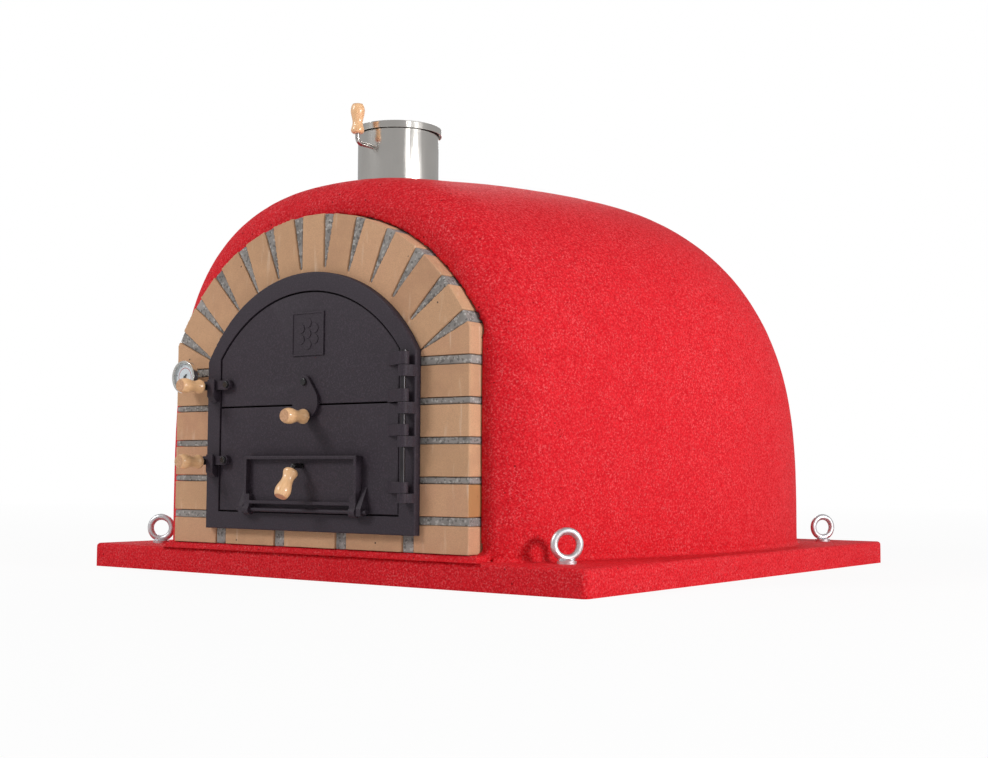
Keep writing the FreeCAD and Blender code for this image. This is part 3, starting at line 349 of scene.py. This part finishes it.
def brick_clay(name, colours, index):
    """Dry-pressed brick: a tone for each brick, fine sand, pale drags and a few pits, dented and painted dark
    inside as shade.

    index gives each brick its number.
    """
    f = Finish(name)
    picked = f.add("ShaderNodeTexWhiteNoise", {"W": index(f)}, noise_dimensions="1D").outputs
    tone, pinkness = picked["Value"], f.split(picked["Color"])[1]
    colour = f.stained(colours.brick, pinkness, 0.45, 1.0, 0.75, colours.brick_pink)
    reach = ((0.86, 1.10), (0.84, 1.09), (0.82, 1.10))
    channels = {k: f.span(tone, 0, 1, low, high) for k, (low, high) in enumerate(reach)}
    light = f.add("ShaderNodeCombineColor", channels).outputs[0]
    colour = f.blend(1.0, colour, light, "MULTIPLY")
    patch = f.noise(26.0, 4.0, roughness=0.6)
    colour = f.stained(colour, patch, 0.42, 0.72, 0.45, scaled(colours.brick, 1.16))
    sand = f.noise(620.0)
    colour = f.stained(colour, sand, 0.35, 0.75, 0.42, scaled(colours.brick, 0.60))
    drags = f.noise(120.0, where=f.moved(f.place, Scale=(1.0, 1.0, 0.12), Rotation=(0.0, 0.5, 0.0)))
    colour = f.stained(colour, drags, 0.64, 0.80, 0.40, colours.brick_drag)
    pits = f.dots(density=52.0, radius=0.075, missing=0.72)
    # Painted shade: the pits, dented by the bump, are painted nearly black inside.
    colour = f.dotted(colour, pits, 0.85, colours.brick_pit_shade)
    x, y, z = f.split()
    above = f.sums("GREATER_THAN", z, OVERFIRED_LOW_Z)
    below = f.sums("LESS_THAN", z, OVERFIRED_HIGH_Z)
    overfired = f.times(f.sums("GREATER_THAN", x, OVERFIRED_FACE_X), f.times(above, below))
    colour = f.dotted(colour, overfired, 0.9, colours.brick_dark)
    height = f.sums("MULTIPLY_ADD", patch, 0.5, f.times(sand, 0.35))
    height = f.bump(f.sums("SUBTRACT", height, pits), 0.0009)
    return f.give(Base_Color=colour, Roughness=f.spread(patch, 0.86, 0.95), Normal=height)


def arch_number(f):
    """Counts the arch bricks around their centre."""
    x, y, z = f.split()
    turn = f.sums("ARCTAN2", x, f.sums("SUBTRACT", z, ARCH_CENTRE_Z))
    return f.sums("FLOOR", f.sums("MULTIPLY_ADD", turn, 1.0 / ARCH_STEP, 0.5))


def pier_number(f):
    """Counts the courses of both piers upwards, each pier with its own numbers."""
    x, y, z = f.split()
    course = f.sums("FLOOR", f.sums("DIVIDE", f.sums("SUBTRACT", z, COURSE_FOOT_Z), COURSE_PITCH))
    return f.sums("MULTIPLY_ADD", f.sums("SIGN", x), 31.0, f.sums("ADD", course, 57.0))


def sill_number(f):
    """Counts the sill bricks from left to right."""
    return f.sums("ADD", f.sums("ROUND", f.sums("DIVIDE", f.split()[0], SILL_PITCH)), 90.0)


def joint_mortar(colours):
    """Sandy cement mortar with pale and dark grit."""
    f = Finish("joint_mortar")
    broad = f.noise(22.0, 4.0)
    grit = f.noise(420.0, roughness=0.7)
    red, green, blue = f.split(f.cells(330.0)["Color"])
    pale = f.sums("GREATER_THAN", red, 0.86)
    dark = f.sums("LESS_THAN", green, 0.14)
    colour = f.blend(f.spread(broad), scaled(colours.mortar, 0.72), scaled(colours.mortar, 1.30))
    colour = f.dotted(colour, pale, 0.55, colours.grit_pale)
    colour = f.dotted(colour, dark, 0.55, colours.grit_dark)
    height = f.bump(f.sums("MULTIPLY_ADD", grit, 0.7, f.times(broad, 0.6)), 0.0016)
    return f.give(Base_Color=colour, Roughness=f.spread(grit, 0.88, 0.98), Normal=height)


def stove_iron(colours):
    """Cast iron under matt stove paint: sand-cast skin, mottled, rubbed bright on its edges."""
    f = Finish("stove_iron")
    skin = f.noise(420.0, 3.0, roughness=0.7)
    cloud = f.noise(9.0, 3.0)
    worn = f.times(f.worn(), f.span(f.noise(90.0), 0.35, 0.65))
    colour = f.blend(f.span(cloud, 0.32, 0.68), scaled(colours.iron, 0.94), scaled(colours.iron, 1.08))
    colour = f.stained(colour, skin, 0.48, 0.68, 0.8, scaled(colours.iron, 2.0))
    colour = f.dotted(colour, worn, 0.35, colours.iron_worn)
    rough = f.spread(skin, 0.56, 0.64)
    return f.give(Base_Color=colour, Roughness=rough, Normal=f.bump(skin, 0.0004), Specular_IOR_Level=0.32)


def black_fitting(colours):
    """Black oxide with handling marks."""
    f = Finish("black_fitting")
    marks = f.noise(260.0, 3.0)
    colour = f.dotted(colours.black, f.worn(), 0.5, colours.black_worn)
    return f.give(Base_Color=colour, Roughness=f.spread(marks, 0.22, 0.40), Normal=f.bump(marks, 0.00008))


def metal(name, colour, rough, stretch, depth, soiling=0.10, **more):
    """Bare or plated metal with drawn lines along the stretch and light soiling."""
    f = Finish(name)
    lines = f.noise(1.0, where=f.moved(f.place, Scale=stretch))
    soil = f.noise(20.0, 4.0)
    tone = f.stained(colour, soil, 0.35, 0.7, 1.0, scaled(colour, 1.0 - soiling))
    tone = f.blend(f.spread(lines, 0.0, 0.25), tone, scaled(colour, 0.78))
    dull = f.sums("ADD", f.spread(lines, *rough), f.span(soil, 0.4, 0.7, 0.0, 0.05))
    return f.give(Base_Color=tone, Metallic=1.0, Roughness=dull, Normal=f.bump(lines, depth), **more)


def beech_wood(name, colours, foot, tip):
    """Turned, varnished beech with its grain along the knob and darker end grain at the tip."""
    f = Finish(name)
    turn = (tip - foot).to_track_quat("Z", "Y").inverted().to_euler()
    local = f.moved(f.moved(f.place, Location=-foot), Rotation=turn)
    bands = f.noise(230.0, 3.0, f.moved(local, Scale=(1.0, 1.0, 0.07)), 0.6)
    fleck = f.noise(900.0, 1.0, f.moved(local, Scale=(1.0, 1.0, 0.15)))
    colour = f.blend(f.span(bands, 0.38, 0.66), colours.beech, colours.beech_grain)
    colour = f.blend(0.55, colour, colours.beech)
    colour = f.stained(colour, fleck, 0.60, 0.75, 0.35, scaled(colours.beech_grain, 0.8))
    rings = f.noise(330.0, 1.0, local)
    end_tone = f.blend(f.span(rings, 0.35, 0.65), colours.beech_end, colours.beech_ring)
    full = (tip - foot).length
    at_end = f.span(f.split(local)[2], full * 0.970, full * 0.995)
    colour = f.dotted(colour, at_end, 0.75, end_tone)
    return f.give(
        Base_Color=colour, Roughness=f.spread(bands, 0.34, 0.46), Normal=f.bump(bands, 0.00012),
        Coat_Weight=0.6, Coat_Roughness=0.12,
    )


def mineral(name, colour, density, depth, soot=0.0, soot_colour=None):
    """Cast, pressed or fired mineral, with optional soot from the fire above the hearth."""
    f = Finish(name)
    dark = 0.7
    broad = f.noise(9.0, 4.0)
    grain = f.noise(density, 3.0, roughness=0.65)
    tone = f.blend(f.spread(broad), scaled(colour, dark), scaled(colour, 1.1))
    tone = f.stained(tone, grain, 0.5, 0.8, 0.4, scaled(colour, dark * dark))
    if soot:
        tone = f.stained(tone, f.noise(5.0, 4.0, roughness=0.6), 0.35, 0.65, soot, soot_colour)
    return f.give(Base_Color=tone, Roughness=f.spread(grain, 0.85, 0.97), Normal=f.bump(grain, depth))


def woven(name, colour, thread):
    """Fibre rope or blanket with a crossed weave."""
    f = Finish(name)
    x, y, z = f.split()
    one = f.sums("SINE", f.times(f.sums("ADD", x, z), math.tau / thread))
    two = f.sums("SINE", f.times(f.sums("SUBTRACT", y, z), math.tau / thread))
    weave = f.sums("MULTIPLY_ADD", f.times(one, two), 0.5, 0.5)
    fluff = f.noise(140.0, 3.0)
    tone = f.blend(weave, scaled(colour, 0.75), colour)
    tone = f.stained(tone, fluff, 0.4, 0.7, 0.4, scaled(colour, 0.85))
    rough = f.spread(fluff, 0.85, 0.98)
    return f.give(Base_Color=tone, Roughness=rough, Normal=f.bump(weave, 0.0008), Sheen_Weight=0.3)


def enamel(name, colour):
    """Printed or enamelled sheet, very slightly mottled."""
    f = Finish(name)
    mottle = f.noise(300.0)
    tone = f.blend(f.spread(mottle), scaled(colour, 0.94), colour)
    return f.give(Base_Color=tone, Roughness=f.spread(mottle, 0.38, 0.5), Normal=f.bump(mottle, 0.00003))


def clear_lens():
    """Thin flat glass: see-through, with a reflection that grows towards its edge."""
    f = Finish("clear_lens")
    clear = f.add("ShaderNodeBsdfTransparent", {"Color": (0.96, 0.98, 0.98)})
    haze = f.spread(f.noise(60.0), 0.02, 0.06)
    gloss = f.add("ShaderNodeBsdfGlossy", {"Color": WHITE, "Roughness": haze})
    outside = f.sums("SUBTRACT", 1.0, f.add("ShaderNodeNewGeometry").outputs["Backfacing"])
    mirror = f.add("ShaderNodeFresnel", {"IOR": 1.45}).outputs[0]
    f.mix_surface(f.times(mirror, outside), clear, gloss)
    f.tree.nodes.remove(f.shader)
    return f.material


# ---- working on nodes ------------------------------------------------------------------------------------
def finish_nodes(material, *names):
    for name in names:
        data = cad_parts[name].data
        data.materials.clear()
        data.materials.append(material)


def welded(node):
    weld = node.modifiers.new("weld", "WELD")
    weld.merge_threshold = WELD_REACH


def handmade(names, step, depth, wave):
    """Remeshes masonry evenly and moves its surface inwards by up to depth, in soft waves."""
    for name in names:
        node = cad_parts[name]
        welded(node)
        even = node.modifiers.new("even", "REMESH")
        even.mode = "VOXEL"
        even.voxel_size = step
        even.use_smooth_shade = True
        pattern = bpy.data.textures.new(name + "_waves", "CLOUDS")
        pattern.noise_scale = wave
        pattern.noise_depth = 2
        push = node.modifiers.new("waves", "DISPLACE")
        push.texture = pattern
        push.texture_coords = "LOCAL"
        push.strength = depth
        push.mid_level = 1.0


def flat_and_round():
    """Node group that shades curved faces smooth and leaves flat faces flat."""
    group = bpy.data.node_groups.new("flat_and_round", "GeometryNodeTree")
    group.interface.new_socket("Geometry", in_out="INPUT", socket_type="NodeSocketGeometry")
    group.interface.new_socket("Geometry", in_out="OUTPUT", socket_type="NodeSocketGeometry")
    start = group.nodes.new("NodeGroupInput")
    plain = group.nodes.new("GeometryNodeRemoveAttribute")
    plain.inputs["Name"].default_value = "custom_normal"
    smooth = group.nodes.new("GeometryNodeSetShadeSmooth")
    turn = group.nodes.new("GeometryNodeInputMeshEdgeAngle")
    steep = group.nodes.new("FunctionNodeCompare")
    steep.operation = "GREATER_THAN"
    steep.inputs[1].default_value = math.radians(20)
    sharp = group.nodes.new("GeometryNodeSetShadeSmooth")
    sharp.domain = "EDGE"
    sharp.inputs["Shade Smooth"].default_value = False
    end = group.nodes.new("NodeGroupOutput")
    group.links.new(start.outputs[0], plain.inputs[0])
    group.links.new(plain.outputs[0], smooth.inputs[0])
    group.links.new(turn.outputs[0], steep.inputs[0])
    group.links.new(steep.outputs[0], sharp.inputs["Selection"])
    group.links.new(smooth.outputs[0], sharp.inputs[0])
    group.links.new(sharp.outputs[0], end.inputs[0])
    return group


def eased(names, width):
    """Rounds the sharp edges of castings and of the coated slab."""
    shading = bpy.data.node_groups.get("flat_and_round") or flat_and_round()
    for name in names:
        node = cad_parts[name]
        welded(node)
        edge = node.modifiers.new("edges", "BEVEL")
        edge.width = width
        edge.segments = 2
        edge.limit_method = "ANGLE"
        edge.angle_limit = math.radians(40)
        edge.use_clamp_overlap = True
        edge.miter_outer = "MITER_ARC"
        node.modifiers.new("shading", "NODES").node_group = shading


def new_piece(name, made, material):
    """A visible piece of the oven's own body from a finished bmesh, which it frees."""
    mesh = bpy.data.meshes.new(name)
    made.to_mesh(mesh)
    made.free()
    mesh.materials.append(material)
    piece = bpy.data.objects.new(name, mesh)
    bpy.context.scene.collection.objects.link(piece)
    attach(piece, "oven")


def slab_top():
    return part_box("slab_coat")[1].z


def resampled(corners, step):
    """Points along a line of corners, no farther apart than step."""
    points = []
    for start, end in zip(corners, corners[1:]):
        count = max(1, math.ceil((end - start).length / step))
        points += [start.lerp(end, k / count) for k in range(count)]
    return points + [corners[-1]]


def cove_profile(height, reach):
    """The fillet's section as pairs of distance from the wall and height; it bites into wall and slab."""
    wall_bite, slab_bite = -0.003, -0.0003
    turns = [math.radians(degrees) for degrees in range(0, 91, 15)]
    curve = [(reach * (1.0 - math.cos(a)), reach * (1.0 - math.sin(a))) for a in turns]
    return [(wall_bite, height), *curve, (reach, slab_bite), (wall_bite, slab_bite)]


def cove(lines, size, step):
    """Hand-drawn fillets along lines on the slab; the wall is on the left of each line's direction."""
    sharpest_mitre = 0.6
    made = bmesh.new()
    for corners in lines:
        points = resampled(corners, step)
        rings = []
        for k, point in enumerate(points):
            ahead = (points[min(k + 1, len(points) - 1)] - points[max(k - 1, 0)]).normalized()
            last = (point - points[k - 1]).normalized() if k else ahead
            away = Vector((ahead.y, -ahead.x))
            away /= max(sharpest_mitre, away.dot(Vector((last.y, -last.x))))
            wave = 1.0 + 0.10 * math.sin(0.61 * k) + 0.08 * math.sin(1.73 * k)
            base = Vector((point.x, point.y, slab_top()))
            rings.append([
                made.verts.new(base + Vector((away.x * out, away.y * out, up)))
                for out, up in cove_profile(size, size * wave)
            ])
        count = len(rings[0])
        for one, two in zip(rings, rings[1:]):
            for k in range(count):
                n = (k + 1) % count
                made.faces.new((one[k], one[n], two[n], two[k]))
        made.faces.new(rings[0][::-1])
        made.faces.new(rings[-1])
    bmesh.ops.recalc_face_normals(made, faces=made.faces)
    return made


def dial_print(bars, thick):
    """Printed bars on the dial; each has a turn and, as shares of the radius, two ends and half its width."""
    low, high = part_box("thermometer_dial")
    centre = (low + high) / 2
    radius = (high.x - low.x) / 2
    hub = Vector((centre.x, low.y, centre.z))
    made = bmesh.new()
    for turn, inner, outer, half in bars:
        along = Vector((math.sin(turn), 0.0, math.cos(turn)))
        across = Vector((math.cos(turn), 0.0, -math.sin(turn)))
        near, far, side = radius * inner, radius * outer, radius * half
        corners = [(near, -side), (near, side), (far, side), (far, -side)]
        back = [made.verts.new(hub + along * r + across * s) for r, s in corners]
        front = [made.verts.new(v.co + Vector((0.0, -thick, 0.0))) for v in back]
        made.faces.new(front)
        made.faces.new(back[::-1])
        for k in range(4):
            n = (k + 1) % 4
            made.faces.new((front[k], back[k], back[n], front[n]))
    return made


# ---- operators -------------------------------------------------------------------------------------------
class OVEN_OT_slab(bpy.types.Operator):
    """Concrete slab core and its threaded inserts"""

    bl_idname = "oven.slab"
    bl_label = "Slab core"

    def execute(self, context):
        colours = context.scene.oven_colours
        finish_nodes(mineral("cast_concrete", colours.concrete, density=160.0, depth=0.0012), "slab_core")
        insert = metal("insert_steel", colours.insert, rough=(0.3, 0.45), stretch=(900, 900, 90), depth=0.00005)
        finish_nodes(insert, "lifting_sockets")
        return {"FINISHED"}


class OVEN_OT_red_coat(bpy.types.Operator):
    """Give dome and slab their granular red coat"""

    bl_idname = "oven.red_coat"
    bl_label = "Red coat"

    def execute(self, context):
        sizes = context.scene.oven_sizes
        coat = red_coat(context.scene.oven_colours, sizes)
        finish_nodes(coat, "dome_render", "slab_coat")
        handmade(["dome_render"], sizes.coat_mesh, sizes.coat_relief, sizes.coat_wave)
        eased(["slab_coat"], sizes.coat_edge)
        new_piece("foot_cove", cove(self.foot_lines(), sizes.cove, sizes.cove_step), coat)
        return {"FINISHED"}

    def foot_lines(self):
        """Two lines on the slab: around the dome, and around the bed in front of the bricks."""
        floor = slab_top() + ON_SLAB
        foot = [v.co.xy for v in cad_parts["dome_render"].data.vertices if v.co.z < floor]
        front = min(p.y for p in foot)
        side = max(p.x for p in foot if p.y < front + ON_FRONT)
        back = front + BED_DEPTH
        dome = [p for p in foot if p.y > back or abs(p.x) > side + BESIDE_BED]
        if len(dome) < 8:
            raise RuntimeError("the dome's foot has too few points for its cove")
        hull = [dome[k] for k in geometry.convex_hull_2d(dome)]

        def mouth_side(k):
            """Length of the hull's side before point k, or 0 where it isn't at the mouth."""
            here, last = hull[k], hull[k - 1]
            return (here - last).length if max(here.y, last.y) < MOUTH_SIDE_Y else 0.0

        start = max(range(len(hull)), key=mouth_side)
        around = hull[start:] + hull[:start]
        bed = [Vector((-side, back)), Vector((-side, front)), Vector((side, front)), Vector((side, back))]
        return [around, bed]


class OVEN_OT_brickwork(bpy.types.Operator):
    """Arch, piers, springers and sill of fired brick"""

    bl_idname = "oven.brickwork"
    bl_label = "Brickwork"

    def execute(self, context):
        colours, sizes = context.scene.oven_colours, context.scene.oven_sizes
        finish_nodes(brick_clay("arch_brick", colours, arch_number), "arch_bricks")
        finish_nodes(brick_clay("pier_brick", colours, pier_number), "pier_bricks", "springer_bricks")
        finish_nodes(brick_clay("sill_brick", colours, sill_number), "sill_bricks")
        names = ["arch_bricks", "pier_bricks", "springer_bricks", "sill_bricks"]
        handmade(names, sizes.brick_mesh, sizes.brick_relief, sizes.brick_wave)
        return {"FINISHED"}


class OVEN_OT_mortar(bpy.types.Operator):
    """Sandy mortar in the joints"""

    bl_idname = "oven.mortar"
    bl_label = "Mortar"

    def execute(self, context):
        sizes = context.scene.oven_sizes
        names = ["arch_mortar", "pier_mortar"]
        finish_nodes(joint_mortar(context.scene.oven_colours), *names)
        handmade(names, sizes.mortar_mesh, sizes.mortar_relief, sizes.mortar_wave)
        return {"FINISHED"}


class OVEN_OT_inner_shell(bpy.types.Operator):
    """Refractory dome, entry vault, insulation, hearth and seals"""

    bl_idname = "oven.inner_shell"
    bl_label = "Inner shell"

    def execute(self, context):
        colours, sizes = context.scene.oven_colours, context.scene.oven_sizes
        stone = mineral(
            "refractory_cast", colours.refractory, density=120.0, depth=0.001,
            soot=0.7, soot_colour=colours.soot,
        )
        finish_nodes(stone, "refractory_dome", "entry_vault")
        tile = mineral(
            "hearth_tile", colours.tile, density=260.0, depth=0.0006,
            soot=0.35, soot_colour=colours.soot,
        )
        finish_nodes(tile, "hearth_tiles", "threshold_tile")
        finish_nodes(mineral("mineral_board", colours.board, density=400.0, depth=0.0004), "hearth_insulation")
        finish_nodes(woven("fibre_blanket", colours.blanket, sizes.blanket_thread), "dome_insulation")
        finish_nodes(woven("seal_rope", colours.rope, sizes.rope_thread), "flue_gasket")
        return {"FINISHED"}


class OVEN_OT_ironwork(bpy.types.Operator):
    """Door frame, leaves, latches, air flap and ornament in stove-painted cast iron"""

    bl_idname = "oven.ironwork"
    bl_label = "Ironwork"

    def execute(self, context):
        names = [
            "door_frame", "latch_keepers", "lower_door_leaf", "upper_door_leaf", "lower_latch_arm",
            "upper_latch_arm", "draught_flap", "centre_latch_plate", "door_ornament",
        ]
        finish_nodes(stove_iron(context.scene.oven_colours), "flap_pivot_rod", *names)
        eased(names, context.scene.oven_sizes.casting_edge)
        return {"FINISHED"}


class OVEN_OT_fittings(bpy.types.Operator):
    """Bolts, nuts, pins, ferrules and the hinge rod"""

    bl_idname = "oven.fittings"
    bl_label = "Fittings"

    def execute(self, context):
        colours = context.scene.oven_colours
        finish_nodes(
            black_fitting(colours),
            "frame_anchors", "lower_pivot_bolt", "lower_pivot_nut", "upper_pivot_bolts", "upper_pivot_nuts",
            "lower_latch_ferrule", "upper_latch_ferrule", "centre_latch_ferrule", "draught_flap_stem",
        )
        rod = metal(
            "hinge_steel", colours.hinge, rough=(0.26, 0.38), stretch=(500, 500, 60), depth=0.00006, soiling=0.4
        )
        finish_nodes(rod, "hinge_rod")
        return {"FINISHED"}


class OVEN_OT_knobs(bpy.types.Operator):
    """Five turned beech knobs"""

    bl_idname = "oven.knobs"
    bl_label = "Beech knobs"

    def execute(self, context):
        for name, along in KNOBS.items():
            low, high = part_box(name)
            axis = Vector(along).normalized()
            reach = [v.co.dot(axis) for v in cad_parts[name].data.vertices]
            centre = (low + high) / 2
            foot = centre + axis * (min(reach) - centre.dot(axis))
            tip = centre + axis * (max(reach) - centre.dot(axis))
            finish_nodes(beech_wood(name + "_beech", context.scene.oven_colours, foot, tip), name)
        return {"FINISHED"}


class OVEN_OT_thermometer(bpy.types.Operator):
    """Thermometer case, lens, needle and printed dial"""

    bl_idname = "oven.thermometer"
    bl_label = "Thermometer"

    def execute(self, context):
        colours = context.scene.oven_colours
        polished = metal(
            "polished_case", colours.bezel, rough=(0.16, 0.26), stretch=(120, 120, 120),
            depth=0.00002, soiling=0.05,
        )
        finish_nodes(polished, "thermometer_case", "thermometer_bezel")
        finish_nodes(enamel("dial_enamel", colours.dial), "thermometer_dial")
        finish_nodes(enamel("needle_black", colours.needle), "thermometer_needle")
        finish_nodes(clear_lens(), "thermometer_lens")
        probe = metal(
            "probe_steel", colours.probe, rough=(0.25, 0.4), stretch=(600, 60, 600), depth=0.00005, soiling=0.3
        )
        finish_nodes(probe, "thermometer_probe")
        thick = context.scene.oven_sizes.print_depth
        ink, red = enamel("dial_ink", colours.ink), enamel("dial_red", colours.dial_red)
        new_piece("dial_ticks", dial_print(self.ticks(), thick), ink)
        new_piece("dial_band", dial_print(self.band(), thick), red)
        return {"FINISHED"}

    def ticks(self):
        bars = []
        for k in range(TICK_COUNT + 1):
            inner = LONG_TICK if k % 10 == 0 else MIDDLE_TICK if k % 5 == 0 else SHORT_TICK
            half = WIDE_TICK if k % 10 == 0 else NARROW_TICK
            turn = math.radians(DIAL_START + DIAL_SWEEP / TICK_COUNT * k)
            bars.append((turn, inner, TICK_OUTER, half))
        return bars

    def band(self):
        step = DIAL_SWEEP / BAND_COUNT
        turns = [math.radians(DIAL_START + step * k) + math.radians(step / 2) for k in range(BAND_COUNT)]
        return [(turn, BAND_INNER, BAND_OUTER, BAND_HALF) for turn in turns]


class OVEN_OT_flue(bpy.types.Operator):
    """Stainless flue with its rolled rim and damper"""

    bl_idname = "oven.flue"
    bl_label = "Flue"

    def execute(self, context):
        colours = context.scene.oven_colours
        brushed = metal(
            "flue_steel", colours.steel, rough=(0.11, 0.20), stretch=(1100, 1100, 9), depth=0.00006,
            Anisotropic=0.35,
        )
        finish_nodes(brushed, "flue_pipe", "flue_rim", "damper_disc")
        rod = metal("damper_rod_steel", colours.rod, rough=(0.20, 0.30), stretch=(300, 60, 300), depth=0.00003)
        finish_nodes(rod, "damper_rod", "damper_screws")
        return {"FINISHED"}


class OVEN_OT_lifting_eyes(bpy.types.Operator):
    """Forged, zinc-plated lifting eyes"""

    bl_idname = "oven.lifting_eyes"
    bl_label = "Lifting eyes"

    def execute(self, context):
        zinc = metal(
            "zinc_plate", context.scene.oven_colours.zinc, rough=(0.36, 0.52), stretch=(260, 260, 260),
            depth=0.0003, soiling=0.22,
        )
        finish_nodes(zinc, "lifting_eyes")
        return {"FINISHED"}


class OVEN_OT_stage(bpy.types.Operator):
    """Floor, lamps, surroundings and camera"""

    bl_idname = "oven.stage"
    bl_label = "Stage"

    def execute(self, context):
        stage = context.scene.oven_stage
        self.floor(context.scene.oven_colours.floor)
        for name, (place, aim, width) in LAMPS.items():
            self.lamp(name + "_lamp", place, aim, width, getattr(stage, name))
        self.surroundings(stage.sky)
        self.camera(stage)
        context.scene.view_settings.view_transform = "Standard"
        return {"FINISHED"}

    def floor(self, colour):
        """A wide matt floor that the camera sees paler the farther it is from the oven."""
        half_side, pale_from, white_from = 30.0, 1.2, 5.0
        made = bmesh.new()
        bmesh.ops.create_grid(made, x_segments=8, y_segments=8, size=half_side)
        mesh = bpy.data.meshes.new("floor")
        made.to_mesh(mesh)
        made.free()
        floor = bpy.data.objects.new("floor", mesh)
        bpy.context.scene.collection.objects.link(floor)
        f = Finish("pale_floor")
        f.give(Base_Color=colour, Roughness=0.9, Specular_IOR_Level=0.1)
        glow = f.add("ShaderNodeEmission", {"Color": WHITE, "Strength": 1.0})
        away = f.add("ShaderNodeVectorMath", {0: f.place}, operation="LENGTH").outputs["Value"]
        seen = f.add("ShaderNodeLightPath").outputs["Is Camera Ray"]
        f.mix_surface(f.times(seen, f.span(away, pale_from, white_from, 0.92, 1.0)), f.shader, glow)
        mesh.materials.append(f.material)

    def lamp(self, name, place, aim, width, power):
        data = bpy.data.lights.new(name, "AREA")
        data.size = width
        data.energy = power
        lamp = bpy.data.objects.new(name, data)
        lamp.location = place
        lamp.rotation_euler = (Vector(aim) - Vector(place)).to_track_quat("-Z", "Y").to_euler()
        bpy.context.scene.collection.objects.link(lamp)

    def surroundings(self, strength):
        """Soft light from all round; the camera sees plain white, also through glass."""
        world = bpy.data.worlds.new("studio")
        bpy.context.scene.world = world
        world.use_nodes = True
        tree = world.node_tree
        lit = tree.nodes["Background"]
        lit.inputs["Color"].default_value = WHITE
        lit.inputs["Strength"].default_value = strength
        white = tree.nodes.new("ShaderNodeBackground")
        white.inputs["Color"].default_value = WHITE
        path = tree.nodes.new("ShaderNodeLightPath")
        either = tree.nodes.new("ShaderNodeMath")
        either.operation = "MAXIMUM"
        tree.links.new(path.outputs["Is Camera Ray"], either.inputs[0])
        tree.links.new(path.outputs["Is Transmission Ray"], either.inputs[1])
        mixed = tree.nodes.new("ShaderNodeMixShader")
        tree.links.new(either.outputs[0], mixed.inputs[0])
        tree.links.new(lit.outputs[0], mixed.inputs[1])
        tree.links.new(white.outputs[0], mixed.inputs[2])
        tree.links.new(mixed.outputs[0], tree.nodes["World Output"].inputs["Surface"])

    def camera(self, stage):
        a, e, r = stage.azimuth, stage.elevation, stage.roll
        ahead = Vector((-math.sin(a) * math.cos(e), math.cos(a) * math.cos(e), math.sin(e)))
        level = Vector((math.cos(a), math.sin(a), 0.0))
        upright = level.cross(ahead)
        right = level * math.cos(r) + upright * math.sin(r)
        up = upright * math.cos(r) - level * math.sin(r)
        data = bpy.data.cameras.new("camera")
        data.sensor_width = 36.0
        data.lens = stage.lens
        data.clip_start, data.clip_end = 0.05, 100.0
        camera = bpy.data.objects.new("camera", data)
        turned = Matrix((right, up, -ahead)).transposed().to_4x4()
        camera.matrix_world = Matrix.Translation(Vector(stage.eye)) @ turned
        bpy.context.scene.collection.objects.link(camera)
        bpy.context.scene.camera = camera


STEPS = (
    OVEN_OT_slab,
    OVEN_OT_red_coat,
    OVEN_OT_brickwork,
    OVEN_OT_mortar,
    OVEN_OT_inner_shell,
    OVEN_OT_ironwork,
    OVEN_OT_fittings,
    OVEN_OT_knobs,
    OVEN_OT_thermometer,
    OVEN_OT_flue,
    OVEN_OT_lifting_eyes,
    OVEN_OT_stage,
)
GROUPS = {"oven_colours": OVEN_PG_colours, "oven_sizes": OVEN_PG_sizes, "oven_stage": OVEN_PG_stage}


class OVEN_PT_panel(bpy.types.Panel):
    """Lists the oven's making steps and settings"""

    bl_idname = "OVEN_PT_panel"
    bl_label = "Masonry Oven"
    bl_space_type = "VIEW_3D"
    bl_region_type = "UI"
    bl_category = "Oven"

    def draw(self, context):
        column = self.layout.column(align=True)
        for step in STEPS:
            column.operator(step.bl_idname)
        for group in GROUPS:
            settings = getattr(context.scene, group)
            box = self.layout.box()
            for key in settings.bl_rna.properties.keys():
                if key not in ("rna_type", "name"):
                    box.prop(settings, key)


def register():
    for item in (*GROUPS.values(), *STEPS, OVEN_PT_panel):
        bpy.utils.register_class(item)
    for name, group in GROUPS.items():
        setattr(bpy.types.Scene, name, bpy.props.PointerProperty(type=group))


def unregister():
    for name in GROUPS:
        delattr(bpy.types.Scene, name)
    for item in (OVEN_PT_panel, *reversed(STEPS), *GROUPS.values()):
        bpy.utils.unregister_class(item)


def main():
    register()
    bpy.ops.oven.slab()
    bpy.ops.oven.red_coat()
    bpy.ops.oven.brickwork()
    bpy.ops.oven.mortar()
    bpy.ops.oven.inner_shell()
    bpy.ops.oven.ironwork()
    bpy.ops.oven.fittings()
    bpy.ops.oven.knobs()
    bpy.ops.oven.thermometer()
    bpy.ops.oven.flue()
    bpy.ops.oven.lifting_eyes()
    bpy.ops.oven.stage()


if __name__ == "__main__":
    main()
